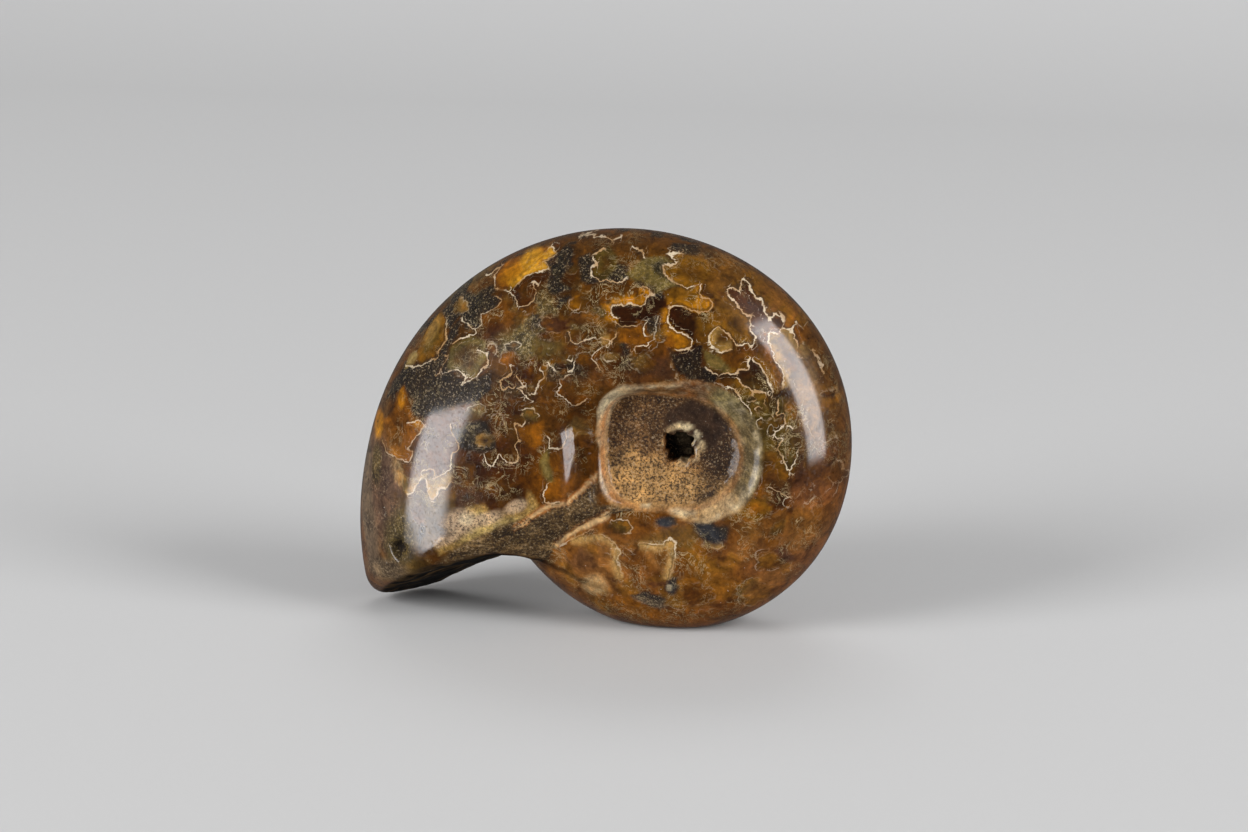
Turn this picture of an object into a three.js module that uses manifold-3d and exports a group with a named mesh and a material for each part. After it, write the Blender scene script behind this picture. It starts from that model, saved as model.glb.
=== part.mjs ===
// A polished ammonite fossil: one coiled stone, standing on its outer edge and one corner of its mouth.
// Millimetres, +Z up. The shell coils about an axis parallel to Y, and its mouth opens down and towards -X.
import * as THREE from "three";
import Module from "manifold-3d";

// The coil. Angles are in degrees, counter-clockwise seen from -Y, and the shell grows with the angle.
const COIL_X = 6.27; // the coil axis, from the middle of the length
const COIL_Z = 17.3; // the coil axis, above the resting plane, which cuts a small flat in the outer edge
const OUTER_RADII = [17.4, 17.8, 18.2, 17.8, 17.7, 18.8, 20.6, 23.9, 29.0, 35.5];
const FIRST_RADIUS_ANGLE = -180;
const RADIUS_STEP = 45;
const OLD_WHORL = { from: -175, to: 40 }; // the older half of the last turn
const YOUNG_WHORL = { from: 20, to: 230 }; // the younger half, up to the mouth
const SECTION_STEP = 5; // between two cross-sections

// The cross-section of the whorl: widest at its shoulder, rounded at its outer edge.
const HALF_THICKNESS = { first: 6.1, last: 8.9 };
const SHOULDER = 0.45; // share of the outer radius where the whorl is widest
const CORE_RADIUS = 1.0;
const CORE_SHARE = 0.6; // half thickness beside the axis, as a share of the widest
const CORE_POWER = 1.8;
const CORE_POINTS = 4;
const FLANK_POINTS = 11;
const FLANK_POWER = 2.3;
const EDGE_POWER = 0.56;

// The mouth: broken off and ground. Its face twists, so that it lies deeper at the back. Each station along
// it has the height of the face at the front and at the back, from the coil axis.
const MOUTH_STATIONS = [
  { x: -36, front: -16.4, back: -24.0 },
  { x: -21, front: -11.0, back: -16.2 },
  { x: -15, front: -9.3, back: -13.2 },
  { x: -11.6, front: -10.2, back: -11.6 },
  { x: -6, front: -12.6, back: -13.2 },
];
const MOUTH_HALF_WIDTH = 8; // where the heights are given
const MOUTH_CUT_HALF_WIDTH = 12;
const MOUTH_CUT_BOTTOM = -40;

// A bevel on each flank runs from the mouth to the navel, between the young whorl and the old one.
const BEVELS = [
  { at: [-7.4, -8.4, -3.56], normal: [0.25, -0.8, -0.54] },
  { at: [-7.4, 8.4, -4.2], normal: [0.25, 0.8, -0.54] },
];
const CUT_SIZE = 90;

// The navel on each flank: a shallow hollow whose floor is the ground face of a plug of sediment.
const PLUG = { radius: 7.8, halfThickness: 5.5, sides: 32 };
const HOLLOWS = [
  { side: -1, x: 1.55, z: 1.0, halfWidth: 5.95, halfHeight: 5.6, corners: 5.5 },
  { side: 1, x: 1.2, z: 0.8, halfWidth: 5.7, halfHeight: 5.3, corners: 3.6 },
];
const HOLLOW_SIDES = 40;
const HOLLOW_HEIGHT = 4.0;
const HOLLOW_FLARE = { mean: 2.4, lessLeft: 1.1, moreRight: 4.0 }; // outward lean of the sides in that height
const ROUND_CORNERS = 2.1; // the power that gives the rounder +X side of the outline

// The small pit left open in the middle of each plug.
const PITS = [
  { side: -1, x: 2.2, z: 1.45, radius: 1.6, depth: 3.2 },
  { side: 1, x: 1.6, z: 0.6, radius: 1.3, depth: 2.4 },
];
const PIT_SIDES = 14;
const PIT_FOOT = { radiusShare: 0.7, height: 0.5 };

const STONE = { color: 0x7a4a1e, roughness: 0.22, metalness: 0 };

const wasm = await Module();
wasm.setup();

// Smooth value between evenly spaced keys, the first of them at position 0.
function between(keys, position) {
  const key = (i) => keys[THREE.MathUtils.clamp(i, 0, keys.length - 1)];
  const index = THREE.MathUtils.clamp(Math.floor(position), 0, keys.length - 2);
  const t = position - index;
  const [start, end] = [key(index), key(index + 1)];
  const slopeIn = (end - key(index - 1)) / 2;
  const slopeOut = (key(index + 2) - start) / 2;
  const bend = 2 * (start - end) + slopeIn + slopeOut;
  return start + t * (slopeIn + t * (3 * (end - start) - 2 * slopeIn - slopeOut + t * bend));
}

function outerRadius(angle) {
  return between(OUTER_RADII, (angle - FIRST_RADIUS_ANGLE) / RADIUS_STEP);
}

function halfThickness(angle) {
  const share = (angle - OLD_WHORL.from) / (YOUNG_WHORL.to - OLD_WHORL.from);
  return THREE.MathUtils.lerp(HALF_THICKNESS.first, HALF_THICKNESS.last, share);
}

// One side of a cross-section, as [radius, thickness] pairs from the core to just short of the outer edge.
function flankSection(angle) {
  const outer = outerRadius(angle);
  const half = halfThickness(angle);
  const shoulder = SHOULDER * outer;
  const points = [];
  for (let i = 0; i < CORE_POINTS; i += 1) {
    const t = i / CORE_POINTS;
    const radius = THREE.MathUtils.lerp(CORE_RADIUS, shoulder, t);
    points.push([radius, half * (1 - (1 - CORE_SHARE) * (1 - t) ** CORE_POWER)]);
  }
  for (let i = 0; i < FLANK_POINTS; i += 1) {
    const t = Math.sin((i / FLANK_POINTS) * (Math.PI / 2));
    const radius = THREE.MathUtils.lerp(shoulder, outer, t);
    points.push([radius, half * (1 - t ** FLANK_POWER) ** EDGE_POWER]);
  }
  return points;
}

function solid(positions, triangles) {
  const mesh = new wasm.Mesh({
    numProp: 3,
    vertProperties: new Float32Array(positions),
    triVerts: new Uint32Array(triangles),
  });
  return new wasm.Manifold(mesh);
}

// Equal rings of points joined into one closed body. Each ring has an odd number of points, and its first
// half faces its second half across the body, so both end caps are strips between the halves.
function sweep(rings) {
  const size = rings[0].length;
  const last = (rings.length - 1) * size;
  const triangles = [];
  const quad = (a, b, c, d) => triangles.push(a, c, b, a, d, c);
  for (let near = 0; near < last; near += size) {
    for (let i = 0; i < size; i += 1) {
      const j = (i + 1) % size;
      quad(near + i, near + size + i, near + size + j, near + j);
    }
  }
  const middle = (size - 1) / 2;
  for (let i = 0; i + 1 < middle; i += 1) {
    const [opposite, nextOpposite] = [size - 1 - i, size - 2 - i];
    quad(i, i + 1, nextOpposite, opposite);
    quad(last + i, last + opposite, last + nextOpposite, last + i + 1);
  }
  triangles.push(middle - 1, middle + 1, middle);
  triangles.push(last + middle - 1, last + middle, last + middle + 1);
  return solid(rings.flat(2), triangles);
}

function whorl({ from, to }) {
  const rings = [];
  for (let angle = from; angle <= to; angle += SECTION_STEP) {
    const flank = flankSection(angle);
    const front = flank.map(([radius, thickness]) => [radius, -thickness]);
    const section = [...front, [outerRadius(angle), 0], ...flank.toReversed()];
    const turn = THREE.MathUtils.degToRad(angle);
    rings.push(section.map(([radius, y]) => [radius * Math.cos(turn), y, radius * Math.sin(turn)]));
  }
  return sweep(rings);
}

// A three.js geometry made a solid, after its shared corners are joined.
function solidOf(geometry) {
  const source = geometry.index ? geometry.toNonIndexed() : geometry;
  const { array } = source.getAttribute("position");
  const corners = new Map();
  const positions = [];
  const triangles = [];
  for (let i = 0; i < array.length; i += 9) {
    const triangle = [0, 3, 6].map((offset) => {
      const corner = array.slice(i + offset, i + offset + 3);
      const name = Array.from(corner, (value) => Math.round(value * 1e4)).join();
      if (!corners.has(name)) {
        corners.set(name, corners.size);
        positions.push(...corner);
      }
      return corners.get(name);
    });
    if (new Set(triangle).size === 3) triangles.push(...triangle);
  }
  return solid(positions, triangles);
}

// Everything on the outer side of a plane.
function beyond({ at, normal }) {
  const direction = new THREE.Vector3(...normal).normalize();
  const turn = new THREE.Quaternion().setFromUnitVectors(new THREE.Vector3(0, 0, 1), direction);
  const centre = new THREE.Vector3(...at).addScaledVector(direction, CUT_SIZE / 2);
  const matrix = new THREE.Matrix4().compose(centre, turn, new THREE.Vector3(1, 1, 1));
  return solidOf(new THREE.BoxGeometry(CUT_SIZE, CUT_SIZE, CUT_SIZE).applyMatrix4(matrix));
}

// Everything below the twisted face of the mouth.
function mouthCut() {
  const rings = MOUTH_STATIONS.toReversed().map(({ x, front, back }) => {
    const middle = (front + back) / 2;
    const rise = ((back - front) / 2) * (MOUTH_CUT_HALF_WIDTH / MOUTH_HALF_WIDTH);
    return [
      [x, -MOUTH_CUT_HALF_WIDTH, MOUTH_CUT_BOTTOM],
      [x, -MOUTH_CUT_HALF_WIDTH, middle - rise],
      [x, 0, middle],
      [x, MOUTH_CUT_HALF_WIDTH, middle + rise],
      [x, MOUTH_CUT_HALF_WIDTH, MOUTH_CUT_BOTTOM],
    ];
  });
  return sweep(rings);
}

// The outline of a hollow, squarish towards -X and round towards +X, at a share of its full height.
function hollowOutline(hollow, share) {
  const ring = [];
  for (let i = 0; i < HOLLOW_SIDES; i += 1) {
    const turn = (i / HOLLOW_SIDES) * 2 * Math.PI;
    const [c, s] = [Math.cos(turn), Math.sin(turn)];
    const square = THREE.MathUtils.smoothstep(-c, -0.2, 0.6);
    const power = THREE.MathUtils.lerp(ROUND_CORNERS, hollow.corners, square);
    const reach = (Math.abs(c) ** power + Math.abs(s) ** power) ** (-1 / power);
    const { mean, lessLeft, moreRight } = HOLLOW_FLARE;
    const flare = share * (mean + c * (c > 0 ? moreRight : lessLeft));
    ring.push([
      hollow.x + c * (reach * hollow.halfWidth + flare),
      hollow.side * (PLUG.halfThickness + share * HOLLOW_HEIGHT),
      hollow.z + s * (reach * hollow.halfHeight + flare),
    ]);
  }
  return ring;
}

function hollowCut(hollow) {
  const floor = hollowOutline(hollow, 0);
  const rim = hollowOutline(hollow, 1);
  const positions = [...floor, ...rim].flat();
  positions.push(hollow.x, floor[0][1], hollow.z, hollow.x, rim[0][1], hollow.z);
  const [floorCentre, rimCentre] = [2 * HOLLOW_SIDES, 2 * HOLLOW_SIDES + 1];
  const triangles = [];
  const push = (a, b, c) => triangles.push(...(hollow.side < 0 ? [a, c, b] : [a, b, c]));
  for (let i = 0; i < HOLLOW_SIDES; i += 1) {
    const j = (i + 1) % HOLLOW_SIDES;
    push(i, i + HOLLOW_SIDES, j);
    push(j, i + HOLLOW_SIDES, j + HOLLOW_SIDES);
    push(floorCentre, i, j);
    push(rimCentre, j + HOLLOW_SIDES, i + HOLLOW_SIDES);
  }
  return solid(positions, triangles);
}

function plug() {
  const { radius, halfThickness: half, sides } = PLUG;
  const profile = [
    new THREE.Vector2(0, -half),
    new THREE.Vector2(radius, -half),
    new THREE.Vector2(radius, half),
    new THREE.Vector2(0, half),
  ];
  return solidOf(new THREE.LatheGeometry(profile, sides));
}

function pitCut({ side, x, z, radius, depth }) {
  const top = PLUG.halfThickness + 1;
  const bottom = PLUG.halfThickness - depth;
  const profile = [
    new THREE.Vector2(0, bottom),
    new THREE.Vector2(radius * PIT_FOOT.radiusShare, bottom + PIT_FOOT.height),
    new THREE.Vector2(radius, bottom + depth / 2),
    new THREE.Vector2(radius, top),
    new THREE.Vector2(0, top),
  ];
  const geometry = new THREE.LatheGeometry(profile, PIT_SIDES);
  if (side < 0) geometry.rotateX(Math.PI);
  return solidOf(geometry.translate(x, 0, z));
}

function ammonite() {
  let young = whorl(YOUNG_WHORL).subtract(mouthCut());
  for (const bevel of BEVELS) young = young.subtract(beyond(bevel));
  let stone = whorl(OLD_WHORL).add(young).add(plug());
  for (const hollow of HOLLOWS) stone = stone.subtract(hollowCut(hollow));
  for (const pit of PITS) stone = stone.subtract(pitCut(pit));
  return stone.subtract(beyond({ at: [0, 0, -COIL_Z], normal: [0, 0, -1] }));
}

function geometryOf(stone) {
  const { numProp, vertProperties, triVerts } = stone.getMesh();
  const positions = [];
  for (let i = 0; i < vertProperties.length; i += numProp) {
    positions.push(...vertProperties.subarray(i, i + 3));
  }
  const geometry = new THREE.BufferGeometry();
  geometry.setAttribute("position", new THREE.Float32BufferAttribute(positions, 3));
  geometry.setIndex(Array.from(triVerts));
  geometry.computeVertexNormals();
  return geometry;
}

const fossil = new THREE.Mesh(geometryOf(ammonite()), new THREE.MeshStandardMaterial(STONE));
fossil.name = "ammonite_fossil";
fossil.position.set(COIL_X, 0, COIL_Z);

const group = new THREE.Group();
group.add(fossil);

export default group;
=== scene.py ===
"""A polished ammonite fossil, one coiled stone standing on its outer edge and one corner of its mouth."""
import math

import bpy
import numpy as np
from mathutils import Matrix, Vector


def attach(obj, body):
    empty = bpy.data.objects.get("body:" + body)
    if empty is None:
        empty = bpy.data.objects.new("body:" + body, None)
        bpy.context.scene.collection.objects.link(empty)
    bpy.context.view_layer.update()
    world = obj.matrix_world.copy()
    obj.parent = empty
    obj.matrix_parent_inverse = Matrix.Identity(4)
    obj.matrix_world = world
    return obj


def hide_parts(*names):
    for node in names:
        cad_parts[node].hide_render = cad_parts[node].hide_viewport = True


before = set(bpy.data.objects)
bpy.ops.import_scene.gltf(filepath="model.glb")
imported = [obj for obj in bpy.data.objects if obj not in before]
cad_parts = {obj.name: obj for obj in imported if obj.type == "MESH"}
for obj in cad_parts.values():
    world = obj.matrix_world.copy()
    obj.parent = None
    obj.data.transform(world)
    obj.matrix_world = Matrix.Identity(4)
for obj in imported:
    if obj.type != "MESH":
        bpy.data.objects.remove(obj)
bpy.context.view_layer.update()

MM = 0.001
NODE = "ammonite_fossil"

# The coil, in millimetres and degrees. Angles run counter-clockwise seen from -Y, as the shell grows.
COIL = np.array([6.27, 0.0, 17.3])
OUTER_RADII = np.array([17.4, 17.8, 18.2, 17.8, 17.7, 18.8, 20.6, 23.9, 29.0, 35.5])
FIRST_RADIUS_ANGLE = -180
RADIUS_STEP = 45
OLD_WHORL = (-175, 40)
YOUNG_WHORL = (20, 230)
SECTION_STEP = 5
HALF_THICKNESS = (6.1, 8.9)
SHOULDER = 0.45
CORE_RADIUS = 1.0
CORE_SHARE = 0.6
CORE_POWER = 1.8
FLANK_POWER = 2.3
EDGE_POWER = 0.56
MOUTH_X = (-36, -21, -15, -11.6, -6)
MOUTH_FRONT = (-16.4, -11.0, -9.3, -10.2, -12.6)
MOUTH_BACK = (-24.0, -16.2, -13.2, -11.6, -13.2)
MOUTH_HALF_WIDTH = 8
BEVELS = (
    ((-7.4, -8.4, -3.56), (0.25, -0.8, -0.54)),
    ((-7.4, 8.4, -4.2), (0.25, 0.8, -0.54)),
)
GROOVE = (  # planes round the groove beside the front hollow's rim, and how much each one's edge is rounded
    ((-8.3, -7.7, 0.6), (0.70, -0.71, 0.02), 0.1),
    ((-6.4, -6.25, 1.0), (0.35, -0.92, 0.13), 0.3),
    ((-5.55, -7.0, 1.0), (-0.96, -0.28, 0), 0.4),
    ((-6.5, -7.0, 5.6), (0.5, 0, -1), 1.6),
)
PLUG_RADIUS = 7.8
PLUG_HALF = 5.5
HOLLOWS = (  # side, x, z, half width, half height, squareness of the corners towards -X
    (-1, 1.5, 1.2, 6.0, 5.2, 3.9),
    (1, 1.2, 0.8, 5.7, 5.3, 3.6),
)
HOLLOW_HEIGHT = 4.0
ROUND_CORNERS = 2.1
PITS = ((-1, 2.2, 1.45, 1.55, 3.2), (1, 1.6, 0.6, 1.25, 2.4))  # side, x, z, radius, depth

VOXEL = 0.245
SETTLE_ROUNDS = 5
LONGEST_STEP = 0.25
FAR_OFF = 9.0


# ---- The shape as numbers -------------------------------------------------------------------------------

def smooth(low, high, value):
    t = np.clip((value - low) / (high - low), 0, 1)
    return t * t * (3 - 2 * t)


def between(keys, position):
    """Smooth value between evenly spaced keys, the first of them at position 0."""
    last = len(keys) - 1
    index = np.clip(np.floor(position), 0, last - 1).astype(int)
    t = position - index
    start, end = keys[index], keys[index + 1]
    slope_in = (end - keys[np.maximum(index - 1, 0)]) / 2
    slope_out = (keys[np.minimum(index + 2, last)] - start) / 2
    bend = 2 * (start - end) + slope_in + slope_out
    return start + t * (slope_in + t * (3 * (end - start) - 2 * slope_in - slope_out + t * bend))


def outer_radius(angle):
    return between(OUTER_RADII, (np.asarray(angle) - FIRST_RADIUS_ANGLE) / RADIUS_STEP)


def half_thickness(angle):
    share = (np.asarray(angle) - OLD_WHORL[0]) / (YOUNG_WHORL[1] - OLD_WHORL[0])
    return HALF_THICKNESS[0] + share * (HALF_THICKNESS[1] - HALF_THICKNESS[0])


def soft_max(a, b, width):
    """The larger of two gaps, with the edge between them rounded over about that width."""
    share = np.clip(0.5 + 0.5 * (a - b) / width, 0, 1)
    return b + (a - b) * share + width * share * (1 - share)


def soft_min(a, b, width):
    return -soft_max(-a, -b, width)


def whorl_gap(radius, y, angle):
    """How far outside a whorl a point is, negative inside it."""
    outer = outer_radius(angle)
    half = half_thickness(angle)
    shoulder = SHOULDER * outer
    thick = np.abs(y) / half
    t = np.maximum((radius - shoulder) / (outer - shoulder), 0)
    flank = thick ** (1 / EDGE_POWER) + t ** FLANK_POWER - 1
    steep_y = thick ** (1 / EDGE_POWER - 1) / EDGE_POWER / half
    steep_r = FLANK_POWER * t ** (FLANK_POWER - 1) / (outer - shoulder)
    inward = np.clip((radius - CORE_RADIUS) / (shoulder - CORE_RADIUS), 0, 1)
    core = thick - 1 + (1 - CORE_SHARE) * (1 - inward) ** CORE_POWER
    return np.where(t > 0, flank / np.maximum(np.hypot(steep_y, steep_r), 0.02), core * half)


def mouth_height(x, y):
    """Height of the twisted mouth face, its creases eased by averaging three neighbouring cuts."""
    height = 0
    for shift in (-1.6, 0, 1.6):
        front = np.interp(x + shift, MOUTH_X, MOUTH_FRONT)
        back = np.interp(x + shift, MOUTH_X, MOUTH_BACK)
        height = height + ((front + back) / 2 + (back - front) / 2 * y / MOUTH_HALF_WIDTH) / 3
    return height


def wall_reach(hollow, across, up, share):
    """Distance from a hollow's middle to its wall, towards a point, at a share of its height."""
    _, _, _, half_width, half_height, corners = hollow
    turn = np.arctan2(up, across)
    c, s = np.cos(turn), np.sin(turn)
    power = ROUND_CORNERS + (corners - ROUND_CORNERS) * smooth(-0.2, 0.6, -c)
    reach = (np.abs(c) ** power + np.abs(s) ** power) ** (-1 / power)
    flare = share * (2.4 + c * np.where(c > 0, 4.0, 1.1))
    return np.hypot(c * (reach * half_width + flare), s * (reach * half_height + flare))


def hollow_gap(x, y, z, hollow):
    side, hollow_x, hollow_z = hollow[:3]
    across, up = x - hollow_x, z - hollow_z
    lift = side * y - PLUG_HALF
    wall = wall_reach(hollow, across, up, np.clip(lift / HOLLOW_HEIGHT, -0.2, 1.3)) - np.hypot(across, up)
    return soft_min(wall * 0.85, lift, 0.5)


def pit_reach(turn, radius):
    ragged = 0.10 * np.cos(4 * turn + 2.6) + 0.09 * np.cos(7 * turn + 2.0) + 0.07 * np.cos(11 * turn)
    return radius * (1 + ragged)


def plane_gap(p, at, normal):
    """How far in front of a plane a point is."""
    return (p - np.array(at)) @ (np.array(normal) / np.linalg.norm(normal))


def stone_gap(p):
    """How far outside the finished stone a point is, in millimetres from the coil's middle."""
    x, y, z = p.T
    angle = np.degrees(np.arctan2(z, x))
    radius = np.hypot(x, z)
    old = whorl_gap(radius, y, np.where(angle < OLD_WHORL[1], np.maximum(angle, -175), -175))
    young = whorl_gap(radius, y, np.where(angle > -100, angle, angle + 360))
    tip = smooth(-21, -27, x)
    young = soft_max(young, (mouth_height(x, y) - z) * 0.93, 0.8 + 1.8 * tip)
    for at, normal in BEVELS:
        young = soft_max(young, plane_gap(p, at, normal), 0.9)
    groove = FAR_OFF
    for at, normal, rounding in GROOVE:
        groove = soft_min(plane_gap(p, at, normal), groove, rounding)
    young = soft_max(young, groove, 0.4)
    stone = soft_min(old, young, 0.02)
    stone = np.minimum(stone, soft_max(radius - PLUG_RADIUS, np.abs(y) - PLUG_HALF, 0.3))
    for hollow in HOLLOWS:
        stone = soft_max(stone, hollow_gap(x, y, z, hollow), 0.7)
    for side, pit_x, pit_z, pit_radius, depth in PITS:
        across, up = x - pit_x, z - pit_z
        wall = pit_reach(np.arctan2(up, across), pit_radius) - np.hypot(across, up)
        crag = 0.85 * np.exp(-((across + 0.25 * up) / 0.38) ** 2) + 0.12 * np.cos(5 * across + 7 * up)
        stone = soft_max(stone, soft_min(wall, side * y - PLUG_HALF + depth * (1 - crag), 0.3), 0.2)
    return soft_max(stone, -COIL[2] - z, 0.3)


def settle(p):
    """Brings points that lie close to the stone's face exactly onto it, and gives the face's normals."""
    nudge = 0.01
    for _ in range(SETTLE_ROUNDS):
        gap = stone_gap(p)
        slope = np.stack([stone_gap(p + nudge * axis) - stone_gap(p - nudge * axis)
                          for axis in np.eye(3)], 1)
        slope /= 2 * nudge
        steep = np.maximum((slope ** 2).sum(1), 0.15)
        step = gap / np.sqrt(steep)
        step = np.clip(step, -LONGEST_STEP, LONGEST_STEP)
        p = p - (step / np.sqrt(steep))[:, None] * slope
    normal = slope / np.maximum(np.linalg.norm(slope, axis=1), 1e-6)[:, None]
    return p, normal


# ---- The rough stone, modelled as by hand ---------------------------------------------------------------

def deselect():
    if bpy.context.object and bpy.context.object.mode != "OBJECT":
        bpy.ops.object.mode_set(mode="OBJECT")
    bpy.ops.object.select_all(action="DESELECT")


def make_current(thing):
    deselect()
    thing.select_set(True)
    bpy.context.view_layer.objects.active = thing


def section_ring(angle):
    """A cross-section of the whorl, round its rim, as [radius, y] pairs."""
    outer, half = float(outer_radius(angle)), float(half_thickness(angle))
    shoulder = SHOULDER * outer
    flank = []
    for i in range(4):
        t = i / 4
        radius = CORE_RADIUS + t * (shoulder - CORE_RADIUS)
        flank.append((radius, half * (1 - (1 - CORE_SHARE) * (1 - t) ** CORE_POWER)))
    for i in range(12):
        t = math.sin(i / 12 * math.pi / 2)
        flank.append((shoulder + t * (outer - shoulder), half * (1 - t ** FLANK_POWER) ** EDGE_POWER))
    return [(r, -y) for r, y in flank] + [(outer, 0)] + flank[::-1]


def rough_whorl(name, span):
    """A section disc at the whorl's start, extruded, turned about the coil and widened, step by step."""
    ring = section_ring(span[0])
    deselect()
    bpy.ops.mesh.primitive_circle_add(vertices=len(ring), radius=MM, fill_type="NGON")
    rough = bpy.context.object
    rough.name = name
    turn = math.radians(span[0])
    for corner, (radius, y) in zip(rough.data.vertices, ring):
        corner.co = Vector(COIL + (radius * math.cos(turn), y, radius * math.sin(turn))) * MM
    middle = tuple(COIL * MM)
    bpy.ops.object.mode_set(mode="EDIT")
    bpy.ops.mesh.select_all(action="SELECT")
    for angle in range(span[0] + SECTION_STEP, span[1] + 1, SECTION_STEP):
        before = angle - SECTION_STEP
        grow = float(outer_radius(angle) / outer_radius(before))
        widen = float(half_thickness(angle) / half_thickness(before))
        bpy.ops.mesh.extrude_region_move()
        bpy.ops.transform.rotate(value=math.radians(SECTION_STEP), orient_axis="Y", center_override=middle)
        bpy.ops.transform.resize(value=(grow, widen, grow), center_override=middle)
    bpy.ops.mesh.select_all(action="SELECT")
    bpy.ops.mesh.normals_make_consistent(inside=False)
    deselect()
    return rough


def saw(stone, at, normal):
    """Cuts everything beyond a plane off and closes the cut."""
    make_current(stone)
    bpy.ops.object.mode_set(mode="EDIT")
    bpy.ops.mesh.select_all(action="SELECT")
    place = tuple((COIL + at) * MM)
    bpy.ops.mesh.bisect(plane_co=place, plane_no=normal, use_fill=True, clear_outer=True)
    deselect()


def carve(stone, cutter):
    make_current(stone)
    cut = stone.modifiers.new("carve", "BOOLEAN")
    cut.operation = "DIFFERENCE"
    cut.solver = "EXACT"
    cut.object = cutter
    bpy.ops.object.modifier_apply(modifier=cut.name)


def mouth_cutter():
    """The broken mouth's twisted face, a sheet shaped station by station and extruded down."""
    deselect()
    bpy.ops.mesh.primitive_grid_add(x_subdivisions=len(MOUTH_X) - 1, y_subdivisions=1, size=2 * MM)
    cutter = bpy.context.object
    wide = 1.5 * MOUTH_HALF_WIDTH
    for corner in cutter.data.vertices:
        station = round((corner.co.x / MM + 1) / 2 * (len(MOUTH_X) - 1))
        x, y = MOUTH_X[station], math.copysign(wide, corner.co.y)
        front, back = MOUTH_FRONT[station], MOUTH_BACK[station]
        z = (front + back) / 2 + (back - front) / 2 * y / MOUTH_HALF_WIDTH
        corner.co = Vector(COIL + (x, y, z)) * MM
    bpy.ops.object.mode_set(mode="EDIT")
    bpy.ops.mesh.select_all(action="SELECT")
    bpy.ops.mesh.extrude_region_move(TRANSFORM_OT_translate={"value": (0, 0, -30 * MM)})
    bpy.ops.mesh.select_all(action="SELECT")
    bpy.ops.mesh.normals_make_consistent(inside=False)
    deselect()
    return cutter


def drum(side, x, z, bottom, top, reach):
    """A round cutter across the stone, its two rings pushed out to the reach given for each direction."""
    deselect()
    bpy.ops.mesh.primitive_cylinder_add(vertices=48, radius=MM, depth=MM, rotation=(math.pi / 2, 0, 0))
    bpy.ops.object.transform_apply(location=True, rotation=True, scale=True)
    cutter = bpy.context.object
    for corner in cutter.data.vertices:
        turn = math.atan2(corner.co.z, corner.co.x)
        high = corner.co.y * side > 0
        out = float(reach(turn, high))
        across, up = x + out * math.cos(turn), z + out * math.sin(turn)
        corner.co = Vector(COIL + (across, side * (top if high else bottom), up)) * MM
    bpy.ops.object.mode_set(mode="EDIT")
    bpy.ops.mesh.select_all(action="SELECT")
    bpy.ops.mesh.normals_make_consistent(inside=False)
    deselect()
    return cutter


def rough_stone():
    old = rough_whorl("older_whorl", OLD_WHORL)
    young = rough_whorl("younger_whorl", YOUNG_WHORL)
    mouth = mouth_cutter()
    carve(young, mouth)
    cutters = [mouth]
    for at, normal in BEVELS:
        saw(young, at, normal)
    deselect()
    bpy.ops.mesh.primitive_cylinder_add(
        vertices=72, radius=PLUG_RADIUS * MM, depth=2 * PLUG_HALF * MM,
        location=tuple(COIL * MM), rotation=(math.pi / 2, 0, 0))
    bpy.ops.object.transform_apply(location=True, rotation=True, scale=True)
    plug = bpy.context.object
    for hollow in HOLLOWS:
        side, x, z = hollow[:3]
        cutters.append(drum(side, x, z, PLUG_HALF, PLUG_HALF + 1.25 * HOLLOW_HEIGHT, lambda turn, high: (
            wall_reach(hollow, math.cos(turn), math.sin(turn), 1.25 if high else 0))))
    for side, x, z, radius, depth in PITS:
        cutters.append(drum(side, x, z, PLUG_HALF - depth, PLUG_HALF + 1, lambda turn, high: (
            pit_reach(turn, radius))))
    for shell in (old, young, plug):
        for cutter in cutters[1:]:
            carve(shell, cutter)
        saw(shell, (0, 0, -COIL[2]), (0, 0, -1))
    for cutter in cutters:
        bpy.data.objects.remove(cutter)
    make_current(old)
    young.select_set(True)
    plug.select_set(True)
    bpy.ops.object.join()
    remesh = old.modifiers.new("remesh", "REMESH")
    remesh.mode = "VOXEL"
    remesh.voxel_size = VOXEL * MM
    bpy.ops.object.modifier_apply(modifier=remesh.name)
    return old


def points_of(stone):
    flat = np.empty(3 * len(stone.data.vertices))
    stone.data.vertices.foreach_get("co", flat)
    return flat.reshape(-1, 3) / MM - COIL


def place_points(stone, p):
    stone.data.vertices.foreach_set("co", ((p + COIL) * MM).ravel())
    stone.data.update()


# ---- Small helpers for materials ------------------------------------------------------------------------

def add(tree, kind, **inputs):
    """A new node. Inputs given by name are linked if they are sockets, and set if they are values."""
    made = tree.nodes.new(kind)
    for name, value in inputs.items():
        place = made.inputs[name.replace("_", " ") if name.replace("_", " ") in made.inputs else name]
        if isinstance(value, bpy.types.NodeSocket):
            tree.links.new(value, place)
        else:
            place.default_value = value
    return made


def sum_of(tree, operation, a, b=0.0, c=0.0, clamp=False):
    made = tree.nodes.new("ShaderNodeMath")
    made.operation = operation
    made.use_clamp = clamp
    for place, value in zip(made.inputs, (a, b, c)):
        if isinstance(value, bpy.types.NodeSocket):
            tree.links.new(value, place)
        else:
            place.default_value = value
    return made.outputs[0]


def remap(tree, value, low, high, to_low=0.0, to_high=1.0, kind="SMOOTHSTEP"):
    made = tree.nodes.new("ShaderNodeMapRange")
    made.interpolation_type = kind
    tree.links.new(value, made.inputs["Value"])
    for name, number in zip(("From Min", "From Max", "To Min", "To Max"), (low, high, to_low, to_high)):
        if isinstance(number, bpy.types.NodeSocket):
            tree.links.new(number, made.inputs[name])
        else:
            made.inputs[name].default_value = number
    return made.outputs["Result"]


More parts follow.
